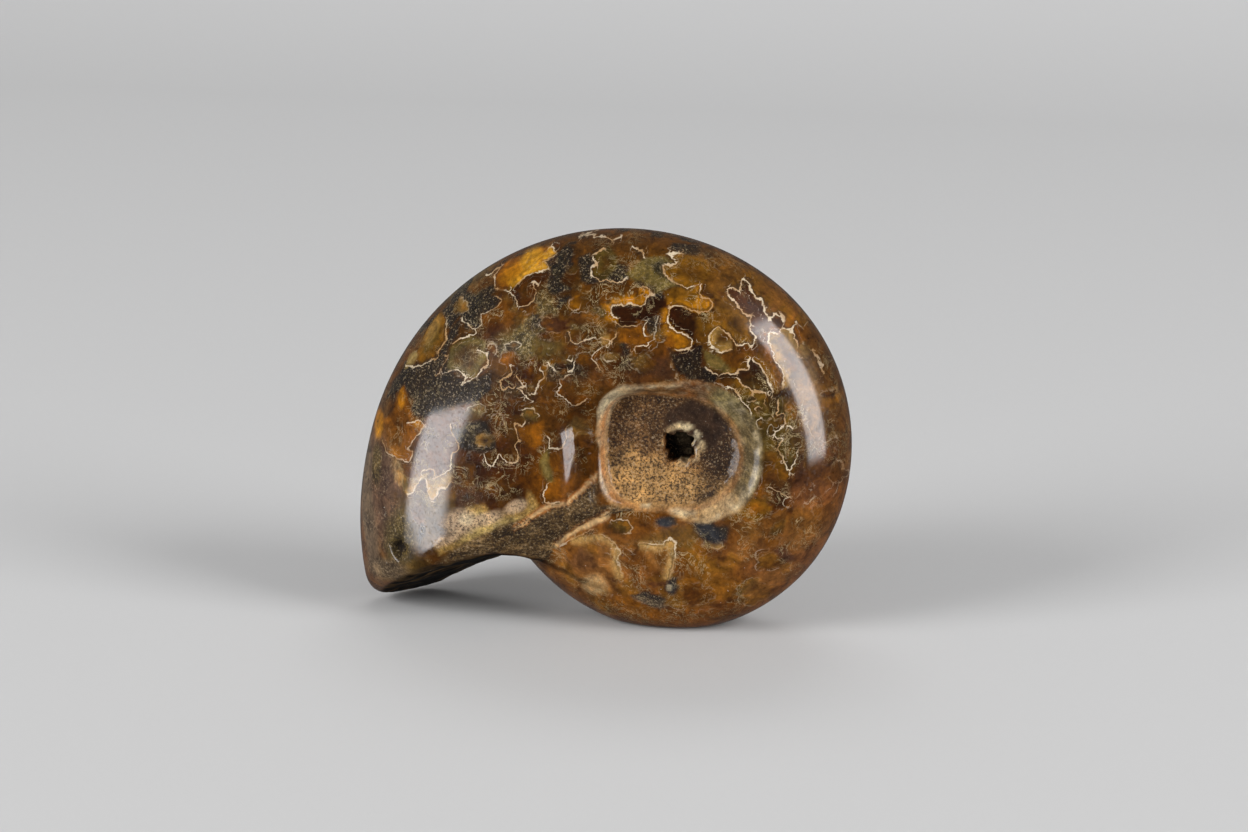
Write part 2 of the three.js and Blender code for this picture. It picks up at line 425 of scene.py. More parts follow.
def ramp(tree, value, stops):
    made = tree.nodes.new("ShaderNodeValToRGB")
    tree.links.new(value, made.inputs["Fac"])
    band = made.color_ramp
    while len(band.elements) < len(stops):
        band.elements.new(0.5)
    for stop, (place, colour) in zip(band.elements, stops):
        stop.position = place
        stop.color = (*colour, 1)
    return made.outputs["Color"]


def mixed(tree, share, a, b, blend="MIX"):
    made = tree.nodes.new("ShaderNodeMix")
    made.data_type = "RGBA"
    made.blend_type = blend
    made.clamp_factor = True
    for place, value in ((0, share), (6, a), (7, b)):
        if isinstance(value, bpy.types.NodeSocket):
            tree.links.new(value, made.inputs[place])
        else:
            made.inputs[place].default_value = value if place == 0 else (*value, 1)
    return made.outputs[2]


def grain_of(tree, where, size, detail=2, roughness=0.5, distortion=0.0, stretch=(1, 1, 1)):
    """Noise whose cells are about that many millimetres, on the stone itself."""
    placed = add(tree, "ShaderNodeMapping", Vector=where, Scale=[1 / (MM * size * k) for k in stretch])
    return add(tree, "ShaderNodeTexNoise", Vector=placed.outputs[0], Scale=1.0, Detail=detail,
               Roughness=roughness, Distortion=distortion).outputs[0]


# ---- Camera, floor and light ----------------------------------------------------------------------------

CAMERA_AZIMUTH = 12
CAMERA_HEIGHT = 15
CAMERA_DISTANCE = 0.330
CAMERA_TARGET = Vector((2.05, 0.47, 19.9)) * MM


def direction(azimuth, elevation):
    """From the stone towards a place around it: azimuth 0 is -Y, and 90 is +X."""
    a, e = math.radians(azimuth), math.radians(elevation)
    return Vector((math.sin(a) * math.cos(e), -math.cos(a) * math.cos(e), math.sin(e)))


def camera():
    data = bpy.data.cameras.new("camera")
    data.lens = 100
    data.sensor_width = 36
    seen = bpy.data.objects.new("camera", data)
    bpy.context.scene.collection.objects.link(seen)
    away = direction(CAMERA_AZIMUTH, CAMERA_HEIGHT)
    seen.location = CAMERA_TARGET + away * CAMERA_DISTANCE
    seen.rotation_euler = (-away).to_track_quat("-Z", "Y").to_euler()
    bpy.context.scene.camera = seen


def softbox(name, azimuth, elevation, distance, width, height, power):
    """A soft lamp that lights the stone but doesn't show in its polish."""
    data = bpy.data.lights.new(name, "AREA")
    data.shape = "RECTANGLE"
    data.size = width
    data.size_y = height
    data.energy = power
    lamp = bpy.data.objects.new(name, data)
    bpy.context.scene.collection.objects.link(lamp)
    away = direction(azimuth, elevation)
    lamp.location = Vector((0.0, 0.0, 0.015)) + away * distance
    lamp.rotation_euler = (-away).to_track_quat("-Z", "Y").to_euler()
    lamp.visible_glossy = False


def reflector(name, seen_from, azimuth, elevation, distance, width, height, strength):
    """A bright card, softer towards its edges, that shows only in the stone's polish."""
    away = direction(azimuth, elevation)
    deselect()
    bpy.ops.mesh.primitive_plane_add(
        size=1.0, location=seen_from + away * distance,
        rotation=(-away).to_track_quat("Z", "Y").to_euler())
    card = bpy.context.object
    card.name = name
    card.scale = (width, height, 1)
    glow = bpy.data.materials.new(name)
    glow.use_nodes = True
    tree = glow.node_tree
    tree.nodes.clear()
    light = add(tree, "ShaderNodeEmission", Color=(1, 0.985, 1, 1))
    where = add(tree, "ShaderNodeTexCoord").outputs["Object"]
    across, up, _ = add(tree, "ShaderNodeSeparateXYZ", Vector=where).outputs
    sides = remap(tree, sum_of(tree, "ABSOLUTE", across), 0.5, 0.30)
    ends = remap(tree, sum_of(tree, "ABSOLUTE", up), 0.5, 0.40)
    glare = sum_of(tree, "MULTIPLY", sum_of(tree, "MULTIPLY", sides, ends), strength)
    tree.links.new(glare, light.inputs["Strength"])
    add(tree, "ShaderNodeOutputMaterial", Surface=light.outputs[0])
    card.data.materials.append(glow)
    for way in ("camera", "diffuse", "transmission", "volume_scatter", "shadow"):
        setattr(card, "visible_" + way, False)


STONE_LEFT = Vector((-0.015, -0.0075, 0.014))
STONE_RIGHT = Vector((0.019, -0.005, 0.025))
LAMP_DISTANCE = 0.9
BACKDROP = 0.30  # how bright the room round the stone is
GLOSS_BACKDROP = 0.12  # and how bright it shows in the polish


def studio():
    deselect()
    bpy.ops.mesh.primitive_plane_add(size=8.0)
    floor = bpy.context.object
    floor.name = "floor"
    paper = bpy.data.materials.new("pale_paper")
    paper.use_nodes = True
    tree = paper.node_tree
    surface = tree.nodes["Principled BSDF"]
    surface.inputs["Roughness"].default_value = 0.9
    surface.inputs["Specular IOR Level"].default_value = 0.1
    where = add(tree, "ShaderNodeTexCoord").outputs["Object"]
    back = add(tree, "ShaderNodeSeparateXYZ", Vector=where).outputs["Y"]
    # Painted light: the paper is paler further back, making up for the lamps' light falling off with
    # distance.
    greys = [(0.0, (0.60, 0.60, 0.60)), (0.35, (0.62, 0.62, 0.62)), (0.8, (0.85, 0.85, 0.85))]
    tone = ramp(tree, remap(tree, back, 0.0, 0.7), greys)
    tree.links.new(tone, surface.inputs["Base Color"])
    floor.data.materials.append(paper)
    floor.visible_glossy = False
    for name, turn in (("softbox_left", -60), ("softbox_right", 60)):
        softbox(name, CAMERA_AZIMUTH + turn, 24, LAMP_DISTANCE, 0.36, 0.62, 6.5)
    softbox("softbox_top", 190, 55, LAMP_DISTANCE, 0.6, 0.3, 1.6)
    reflector("card_left", STONE_LEFT, CAMERA_AZIMUTH - 60, 8, 0.3, 0.165, 0.135, 14)
    reflector("card_right", STONE_RIGHT, CAMERA_AZIMUTH + 63, 29, 0.3, 0.19, 0.36, 12)
    world = bpy.data.worlds.new("studio")
    world.use_nodes = True
    tree = world.node_tree
    backdrop = tree.nodes["Background"]
    backdrop.inputs["Color"].default_value = (0.80, 0.80, 0.81, 1)
    in_gloss = add(tree, "ShaderNodeLightPath").outputs["Is Glossy Ray"]
    strength = sum_of(tree, "MULTIPLY_ADD", in_gloss, GLOSS_BACKDROP - BACKDROP, BACKDROP)
    tree.links.new(strength, backdrop.inputs["Strength"])
    bpy.context.scene.world = world
    bpy.context.scene.view_settings.view_transform = "Standard"


# ---- The pattern in the stone ---------------------------------------------------------------------------

TINTS = {
    "amber_brown": (98, 64, 28), "olive_brown": (88, 60, 24), "golden_olive": (128, 92, 34),
    "gold": (196, 136, 30), "bright_gold": (240, 186, 70), "honey": (146, 94, 28),
    "dark_amber": (72, 40, 12), "deep_brown": (52, 28, 10), "nearly_black": (30, 26, 24),
    "black_matrix": (38, 36, 35), "grey_matrix": (104, 98, 78), "olive_grey": (92, 80, 48),
    "blue_grey": (74, 76, 86), "cream": (224, 206, 172), "pale_tan": (180, 150, 108),
    "red_amber": (112, 70, 28), "hazy_amber": (140, 98, 58), "rust": (112, 74, 46),
    "purple_brown": (84, 58, 50), "band_brown": (96, 76, 64), "grey_olive": (118, 108, 76),
    "blue_black": (46, 48, 54), "pink_grey": (150, 122, 104), "side_olive": (104, 90, 62),
    "pink_rust": (140, 92, 66), "edge_grey": (104, 90, 76), "crust": (186, 160, 132),
    "venter_brown": (100, 70, 50), "mouth_painted_shade": (22, 18, 14), "bevel_olive": (98, 78, 52),
    "rim_cream": (190, 160, 118), "rim_orange": (164, 106, 58), "rim_pale": (206, 192, 160),
    "rim_rust": (120, 78, 44), "floor_tan": (140, 102, 62), "floor_dark": (52, 40, 34),
    "floor_gold": (168, 132, 86),
}
POLISH_LEAN = 0.18  # the polish rolls off a little towards the top all over, so it mirrors slightly higher
TONE_KEPT = np.array([0.66, 0.59, 0.32])  # how much of its tint the paint keeps over most of the stone
TONE_KEPT_LOWER_LEFT = np.array([0.97, 0.91, 0.66])  # and towards the lower left
SWAY = 0.45  # how far the drawn shapes wander
LINE_REACH = 0.40  # a line's strength fades out this far from it, so that two lines never mix


def linear(name):
    return np.array([(c / 255) ** 2.2 for c in TINTS[name]])


def clouds(p, size, seed, octaves=1):
    """A smooth random field from 0 to 1 whose blobs are about that many millimetres across."""
    total = 0
    for octave in range(octaves):
        table = np.random.default_rng(seed + octave).random(4096)
        q = p / size * 2 ** octave
        base = np.floor(q).astype(np.int64)
        f = q - base
        f = f * f * (3 - 2 * f)
        for corner in np.ndindex(2, 2, 2):
            cell = base + corner
            code = (cell[:, 0] * 73856093 ^ cell[:, 1] * 19349663 ^ cell[:, 2] * 83492791) & 4095
            total = total + table[code] * np.prod(np.where(corner, f, 1 - f), axis=1) * 0.5 ** octave
    return total / (2 - 0.5 ** (octaves - 1))


class Skin:
    """The stone's points, with the colours and masks that are laid on them one after another."""

    def __init__(self, p, normal):
        self.p, self.normal = p, normal
        self.x, self.y, self.z = p.T
        self.angle = np.degrees(np.arctan2(self.z, self.x))
        self.radius = np.hypot(self.x, self.z)
        sway = [clouds(p, 2.4, seed) - 0.5 + 0.45 * (clouds(p, 0.9, seed + 50) - 0.5) for seed in (11, 23)]
        self.drawn_x = self.x + SWAY * sway[0]
        self.drawn_z = self.z + SWAY * sway[1]
        count = len(p)
        self.paint = np.tile(linear("amber_brown"), (count, 1))
        self.grain = np.zeros(count)
        self.edge = np.ones(count)
        self.line = np.zeros(count)
        self.net = np.zeros(count)
        self.polish = np.ones(count)
        self.rise = np.zeros(count)

    def tint(self, share, name, where=slice(None)):
        share = np.clip(share, 0, 1)
        self.paint[where] += (linear(name) - self.paint[where]) * share[:, None]

    def blot(self, side, x, z, reach_x, reach_z, name, strength=0.8, turn=0, net=None, polish=None,
             grain=None):
        """A cloudy patch with a soft, ragged border."""
        c, s = math.cos(math.radians(turn)), math.sin(math.radians(turn))
        across, up = self.drawn_x - x, self.drawn_z - z
        far = np.hypot((across * c + up * s) / reach_x, (up * c - across * s) / reach_z)
        share = strength * smooth(1.25, 0.6, far) * (side * self.y > 0)
        self.tint(share, name)
        for field, value in (("net", net), ("polish", polish), ("grain", grain)):
            if value is not None:
                held = getattr(self, field)
                held += (value - held) * share

    def lay(self, i, gap, name, line, glow, opacity=1.0, matrix=0.0):
        """Lays a piece of pattern with its outline at gap 0 over what is there."""
        self.tint(opacity * smooth(0.17, -0.17, gap), name, i)
        if glow is not None:
            self.tint(0.8 * smooth(-0.2, -0.9, gap), glow, i)
        closer = (gap < 0) | ((gap < LINE_REACH) & ((gap < np.abs(self.edge[i])) | (line > 0.8)))
        self.edge[i] = np.where(closer, gap, self.edge[i])
        strength = line * smooth(LINE_REACH, 0.26, np.abs(gap))
        self.line[i] = np.where(closer, strength, self.line[i])
        inside = smooth(0.1, -0.1, gap)
        self.grain[i] += (matrix - self.grain[i]) * inside

    def leaf(self, side, x, z, length, width, turn, frills, name, line=0.8, glow="honey", depth=0.32,
             opacity=0.92, matrix=0.0, facing=None, shade="dark_amber"):
        """A lobe of a suture: an oval whose border bulges out in rounded frills. Its wall shows on the side
        that it faces, and its far side falls into shade."""
        near = (side * self.y > -0.5) & (np.hypot(self.x - x, self.z - z) < 1.4 * max(length, width) + 1.5)
        i = np.flatnonzero(near)
        if not len(i):
            return
        c, s = math.cos(math.radians(turn)), math.sin(math.radians(turn))
        across, up = self.drawn_x[i] - x, self.drawn_z[i] - z
        u, v = across * c + up * s, up * c - across * s
        share = np.hypot(u / length, v / width)
        way = np.arctan2(v / width, u / length)
        bulge = np.abs(np.cos(frills * way / 2 + 1.3 * x + z)) ** 0.6
        rim = 1 - depth + depth * bulge + 0.07 * np.cos(2 * way + 2 * x)
        gap = (share - rim) * np.hypot(u, v) / np.maximum(share, 0.05)
        if facing is None:
            facing = 137 * (x + 2 * z)
        towards = np.cos(np.arctan2(up, across) - math.radians(facing))
        self.lay(i, gap, name, line * smooth(-0.75, 0.15, towards), None, opacity, matrix)
        inside = opacity * smooth(0.1, -0.1, gap)
        self.tint(0.75 * inside * smooth(0.55, -0.75, towards * np.minimum(share, 1)), shade, i)
        if glow:
            rim_light = np.exp(-((gap + 0.42) / 0.28) ** 2) * smooth(-0.2, 0.8, towards)
            self.tint(0.7 * opacity * rim_light, glow, i)

    def patch(self, side, points, name, line=0.3, glow=None, opacity=0.95, matrix=0.0):
        """A patch inside an outline of straight runs, drawn ragged."""
        points = np.array(points)
        i = np.flatnonzero(side * self.y > -0.5)
        q = np.stack([self.drawn_x[i], self.drawn_z[i]], 1)
        nearest = np.full(len(i), FAR_OFF)
        inside = np.zeros(len(i), bool)
        for a, b in zip(points, np.roll(points, -1, axis=0)):
            run = b - a
            share = np.clip(((q - a) @ run) / (run @ run), 0, 1)
            nearest = np.minimum(nearest, np.linalg.norm(q - a - share[:, None] * run, axis=1))
            crosses = (a[1] > q[:, 1]) != (b[1] > q[:, 1])
            rise = b[1] - a[1] if b[1] != a[1] else 1e-9
            inside ^= crosses & (q[:, 0] < a[0] + (q[:, 1] - a[1]) * run[0] / rise)
        gap = np.where(inside, -nearest, nearest)
        close = gap < 1.5
        self.lay(i[close], gap[close], name, line, glow, opacity, matrix)

    def seam(self, side, points, line=1.0, left=None, right=None):
        """A chamber wall's edge: a fine open line through a few points, with the stone tinted on either
        side of it, left and right as one follows it from its first point."""
        points = np.array(points)
        i = np.flatnonzero(side * self.y > -0.5)
        q = np.stack([self.drawn_x[i], self.drawn_z[i]], 1)
        gap = np.full(len(i), FAR_OFF)
        ends = np.zeros(len(i))
        for a, b in zip(points[:-1], points[1:]):
            run = b - a
            share = ((q - a) @ run) / (run @ run)
            off = q - a - np.clip(share, 0, 1)[:, None] * run
            beside = run[0] * (q[:, 1] - a[1]) - run[1] * (q[:, 0] - a[0])
            signed = np.linalg.norm(off, axis=1) * np.sign(beside)
            closer = np.abs(signed) < np.abs(gap)
            gap = np.where(closer, signed, gap)
            ends = np.where(closer, (share > -0.05) & (share < 1.05), ends)
        self.line[i[(np.abs(gap) < 0.8) & (ends > 0)]] *= 0.2
        for name, way in ((left, 1), (right, -1)):
            if name:
                beside = smooth(1.1, 0.15, gap * way) * smooth(-0.12, 0.06, gap * way)
                self.tint(0.75 * beside * ends, name, i)
        closer = (np.abs(gap) < LINE_REACH) & (ends > 0)
        at = i[closer]
        self.edge[at] = gap[closer]
        self.line[at] = line * smooth(LINE_REACH, 0.26, np.abs(gap[closer]))

    def dent(self, x, z, reach_x, reach_z, depth):
        """A small hollow in the front face, with a dark floor."""
        far = np.hypot((self.drawn_x - x) / reach_x, (self.drawn_z - z) / reach_z)
        share = smooth(1.2, 0.5, far + 1.2 * (clouds(self.p, 0.6, 291, 2) - 0.5)) * (self.y < 0)
        self.rise -= depth * share
        self.tint(0.9 * smooth(0.2, 0.7, share), "nearly_black")
        self.polish *= 1 - share


FRONT_BLOTS = (  # x, z, reach in x and z, tint, strength, turn
    (-6, 17, 11, 4.5, "olive_brown", 0.8, 10),
    (-14, 9, 6, 5, "olive_brown", 0.8, 0),
    (-8.5, 3, 3.4, 5, "amber_brown", 0.8, 0),
    (-13.5, -1.5, 4.6, 4.2, "dark_amber", 0.85, 0),
    (-14.5, -3.2, 2.6, 1.6, "olive_brown", 0.6, 0),
    (-12.5, 4.0, 3.5, 2.2, "olive_brown", 0.7, 0),
    (-9.4, -1.6, 2.2, 2.6, "honey", 0.55, 0),
    (-11.5, 12.9, 3.4, 1.5, "amber_brown", 0.8, 12),
    (-13.0, 13.6, 2.6, 0.9, "honey", 0.5, 12),
    (-9.0, 17.6, 1.6, 1.6, "dark_amber", 0.6, 0),
    (-15.2, 12.0, 1.4, 0.9, "dark_amber", 0.8, 20),
    (-11.5, 11.3, 3.4, 1.2, "grey_olive", 0.6, 0),
    (-2.5, 9.8, 4.0, 1.8, "dark_amber", 0.7, 0),
    (2.3, 9.6, 3.2, 1.3, "purple_brown", 0.8, 0),
    (-3.5, 8.4, 4.0, 0.9, "rust", 0.6, 0),
    (6, 15, 6, 4, "golden_olive", 0.45, -20),
    (11.5, 10, 4, 5, "olive_brown", 0.7, 0),
    (9.8, 4.5, 2.6, 4.5, "olive_grey", 0.7, 10),
    (14.8, 3, 2.2, 8, "olive_brown", 0.75, 0),
    (15.6, -2.6, 2.6, 2.6, "rust", 0.75, 0),
    (5, -11, 11, 6.5, "red_amber", 0.7, 0),
    (10.5, -5.5, 5, 4, "hazy_amber", 0.5, 30),
    (12, -9, 4, 3, "purple_brown", 0.5, 40),
    (-6.5, -10.2, 4.6, 3.0, "hazy_amber", 0.75, -30),
    (-7.0, -9.8, 2.0, 1.4, "purple_brown", 0.5, -30),
    (5.6, -8.6, 2.6, 1.8, "golden_olive", 0.6, 0),
    (4.5, -12.2, 3.8, 2.0, "golden_olive", 0.4, 10),
    (4, -6.8, 6, 1.2, "olive_grey", 0.5, 10),
    (0, -12, 5, 2.2, "rust", 0.4, -10),
    (-26, -4, 2.0, 7.5, "band_brown", 0.9, 8),
    (-28.5, -6, 1.2, 9, "edge_grey", 0.8, 8),
    (-19.5, 16.0, 5, 1.6, "grey_matrix", 0.5, 42),
    (-22.0, -6.5, 4.5, 2.8, "olive_grey", 0.7, 25),
)
FRONT_PATCHES = (  # outline, tint, tint further in, matrix
    (((-16.1, 16.3), (-15.4, 17.2), (-13.6, 18.4), (-11.6, 19.2), (-10.0, 19.3), (-10.1, 18.8),
      (-10.8, 18.2), (-10.1, 17.8), (-12.5, 16.7), (-13.9, 15.8), (-15.5, 15.7)), "honey", "gold", 0),
    (((-21.1, 12.5), (-19.6, 14.2), (-17.2, 14.9), (-14.8, 15.3), (-15.3, 14.1), (-16.5, 13.4),
      (-16.5, 12.0), (-18.9, 12.7), (-19.8, 11.5)), "black_matrix", None, 0.9),
    (((-19.8, 11.5), (-18.8, 12.4), (-18.8, 11.3), (-20.0, 9.9), (-20.6, 7.4), (-19.4, 7.9),
      (-17.9, 7.1), (-15.3, 8.2), (-15.0, 6.6), (-16.7, 5.5), (-19.2, 4.6), (-22.1, 3.5), (-23.7, 3.2),
      (-23.2, 4.8), (-24.4, 5.7), (-27.0, 3.7), (-26.1, 5.8), (-24.8, 7.2), (-23.4, 7.7), (-21.0, 9.1),
      (-20.2, 10.4)), "black_matrix", None, 0.9),
    (((-21.2, 12.5), (-20.3, 12.1), (-20.3, 10.3), (-21.8, 8.8), (-24.7, 7.3), (-23.6, 8.8),
      (-22.8, 10.7)), "golden_olive", "olive_grey", 0),
    (((-19.6, 10.1), (-17.5, 11.3), (-16.0, 11.1), (-15.4, 9.7), (-17.0, 7.5), (-17.6, 7.6),
      (-18.5, 8.1), (-19.7, 8.0)), "grey_olive", "olive_brown", 0.2),
    (((-27.5, 0.0), (-27.3, 1.8), (-25.8, 3.2), (-25.3, 4.2), (-24.5, 5.8), (-23.9, 4.6), (-23.1, 3.2),
      (-21.8, 2.8), (-22.4, 1.9), (-24.0, 0.2), (-23.1, -0.1), (-23.6, -1.0), (-24.9, -0.9),
      (-26.2, -0.6)), "honey", "amber_brown", 0),
    (((-19.1, 3.0), (-18.1, 2.8), (-17.4, 3.6), (-15.5, 3.8), (-15.0, 2.5), (-14.6, 1.1), (-15.8, 0.7),
      (-17.0, 0.7), (-18.1, 1.0)), "black_matrix", None, 0.5),
    (((-10.7, 18.2), (-9.9, 18.9), (-9.0, 18.7), (-8.8, 18.0), (-9.0, 16.9), (-7.8, 16.3),
      (-9.5, 15.7), (-10.3, 16.2), (-10.3, 17.6)), "black_matrix", None, 0.8),
    (((-7.7, 18.8), (-6.8, 19.2), (-5.9, 18.5), (-6.3, 18.1), (-4.8, 17.0), (-5.6, 16.7), (-7.0, 17.2),
      (-7.4, 18.0)), "black_matrix", None, 0.8),
    (((-6.3, 19.1), (-4.8, 19.8), (-4.1, 19.2), (-3.7, 18.3), (-4.7, 17.3), (-6.0, 17.7),
      (-5.8, 18.5)), "olive_grey", "olive_brown", 0),
    (((-2.8, 17.8), (-1.8, 18.7), (-1.3, 19.1), (0.6, 19.1), (1.6, 18.6), (0.6, 18.5), (0.9, 17.9),
      (2.4, 17.1), (1.2, 16.8), (0.0, 16.3), (-0.7, 16.8), (-1.9, 17.3)), "grey_olive", None, 0.35),
    (((-0.4, 18.4), (0.2, 18.8), (0.8, 18.6), (0.6, 18.2), (1.0, 17.5), (0.1, 17.8)), "black_matrix",
      None, 0.3),
    (((0.9, 19.4), (2.7, 19.1), (4.3, 18.7), (5.0, 17.7), (4.4, 16.9), (2.9, 16.9), (1.0, 17.9),
      (0.6, 18.4), (1.6, 18.6)), "golden_olive", "olive_brown", 0),
    (((0.8, 16.4), (2.4, 17.1), (4.2, 16.9), (4.5, 15.9), (5.4, 15.3), (5.1, 14.8), (4.2, 14.6),
      (3.1, 15.1), (1.4, 15.2)), "golden_olive", None, 0),
    (((1.5, 15.0), (2.8, 15.1), (3.8, 14.6), (4.2, 13.4), (3.9, 12.1), (2.1, 13.1), (1.4, 13.8)),
      "deep_brown", None, 0),
    (((1.7, 13.3), (3.3, 12.8), (4.0, 12.0), (3.6, 11.5), (2.4, 11.4), (1.4, 11.9)), "honey", None, 0),
    (((-7.1, 16.8), (-4.2, 17.3), (-2.2, 17.3), (-0.2, 16.3), (-1.0, 15.3), (-2.3, 15.5),
      (-4.9, 15.6)), "amber_brown", None, 0),
    (((-3.7, 15.2), (-1.0, 15.3), (0.3, 16.1), (1.3, 15.5), (0.9, 14.7), (-0.5, 14.1), (-1.4, 13.5),
      (-2.7, 13.4), (-3.2, 13.7), (-3.1, 14.1)), "deep_brown", None, 0),
    (((-3.1, 13.2), (-1.9, 13.4), (-0.6, 13.6), (0.1, 12.5), (-0.1, 11.9), (-1.1, 11.6), (-2.9, 11.8)),
      "honey", "amber_brown", 0),
    (((6.8, 16.6), (7.8, 16.3), (8.2, 16.8), (9.1, 15.5), (10.1, 14.5), (10.7, 13.8), (10.0, 13.8),
      (9.0, 14.3), (7.5, 15.3)), "dark_amber", None, 0),
    (((8.2, 16.8), (9.7, 16.3), (11.6, 14.8), (13.2, 13.2), (12.3, 12.9), (11.4, 14.1), (10.7, 13.8),
      (9.7, 15.4)), "hazy_amber", "amber_brown", 0),
    (((4.1, 14.0), (6.1, 15.2), (8.0, 14.7), (9.0, 14.3), (8.9, 13.3), (9.6, 12.6), (9.2, 11.7),
      (8.0, 11.9), (7.1, 12.9), (6.0, 13.4), (4.8, 12.8)), "golden_olive", "olive_brown", 0),
    (((6.0, 13.3), (7.1, 12.9), (7.8, 12.0), (7.4, 11.4), (6.5, 11.3), (5.7, 11.8), (5.5, 12.7)),
      "golden_olive", "deep_brown", 0),
    (((8.0, 11.6), (10.6, 12.1), (12.0, 9.5), (12.2, 7.8), (11.4, 7.5), (10.8, 9.1), (9.4, 10.7),
      (8.8, 10.2), (6.8, 10.9)), "amber_brown", None, 0),
    (((8.3, 9.9), (9.2, 9.8), (9.4, 10.6), (10.8, 9.1), (11.2, 7.5), (9.7, 7.8), (8.7, 8.4)),
      "deep_brown", None, 0),
    (((1.8, 10.9), (3.6, 11.4), (4.9, 11.8), (4.9, 10.1), (6.5, 9.1), (5.9, 8.5), (4.2, 7.5),
      (3.4, 9.0), (2.4, 9.6)), "nearly_black", None, 0.5),
    (((5.0, 11.4), (6.6, 11.0), (7.3, 10.2), (8.2, 9.4), (7.0, 9.6), (5.6, 9.9)), "grey_olive",
      "pale_tan", 0.1),
    (((-12.7, 3.8), (-11.7, 3.4), (-10.0, 4.1), (-10.1, 1.8), (-10.9, 1.4), (-12.1, 2.2)), "honey",
      None, 0),
    (((-20.8, -2.3), (-19.8, -2.0), (-18.8, -1.2), (-18.8, -2.8), (-20.3, -3.2), (-21.0, -4.5),
      (-21.5, -3.8)), "pale_tan", None, 0.2),
    (((-9.5, 1.6), (-9.4, 0.1), (-9.1, -1.8), (-9.8, -1.8), (-10.2, -1.1), (-10.4, 0.3), (-10.1, 0.8)),
      "grey_olive", "cream", 0),
    (((-11.4, -2.7), (-10.6, -3.9), (-11.2, -4.7), (-12.0, -4.8)), "pale_tan", "cream", 0),
    (((-18.1, -5.7), (-17.4, -4.6), (-15.8, -4.2), (-15.0, -5.1), (-14.2, -4.9), (-12.2, -4.7),
      (-11.2, -2.9), (-10.6, -4.2), (-11.8, -5.9), (-14.2, -7.3), (-15.7, -8.2), (-18.2, -8.9),
      (-20.4, -9.9), (-21.0, -8.8), (-19.2, -8.5), (-18.1, -7.0)), "pale_tan", "cream", 0.55),
    (((-20.0, -6.6), (-19.5, -6.0), (-18.1, -6.7), (-18.3, -7.6)), "nearly_black", None, 0),
    (((-18.4, -3.7), (-17.4, -2.8), (-16.9, -3.1), (-15.8, -3.1), (-15.7, -4.1), (-17.0, -4.4),
      (-18.1, -4.8)), "purple_brown", "nearly_black", 0.3),
    (((-26.3, -7.5), (-25.1, -5.6), (-23.5, -6.4), (-23.0, -9.1), (-25.6, -11.0), (-26.6, -9.9)),
      "olive_grey", None, 0.9),
    (((-1.1, -7.6), (1.0, -7.7), (1.8, -7.0), (2.4, -7.4), (2.3, -8.9), (1.6, -11.0), (0.3, -10.1),
      (-0.7, -8.8)), "hazy_amber", "amber_brown", 0),
    (((0.6, -5.2), (2.0, -5.0), (2.5, -5.9), (1.1, -5.8)), "blue_black", None, 0.6),
    (((4.0, -5.5), (5.1, -4.6), (6.2, -5.5), (7.3, -5.6), (7.1, -6.7), (5.6, -6.3), (4.4, -6.0)),
      "blue_black", None, 0.6),
    (((1.4, -11.2), (2.3, -10.9), (2.5, -12.2), (1.7, -12.5)), "blue_black", None, 0.9),
    (((-2.4, -13.2), (-0.8, -12.6), (1.2, -13.3), (0.4, -14.5), (-0.3, -13.5)), "blue_black", None,
      1.0),
    (((-6.2, -11.6), (-5.3, -12.3), (-3.9, -12.8), (-4.5, -13.9), (-5.9, -13.8), (-6.4, -12.7)),
      "hazy_amber", "pale_tan", 0),
    (((8.5, -2.9), (10.2, -2.4), (11.5, -3.6), (10.0, -5.1), (8.6, -4.4)), "golden_olive", "honey", 0),
    (((11.4, -7.7), (12.4, -7.6), (13.1, -9.3), (12.1, -9.7)), "purple_brown", None, 0.2),
)
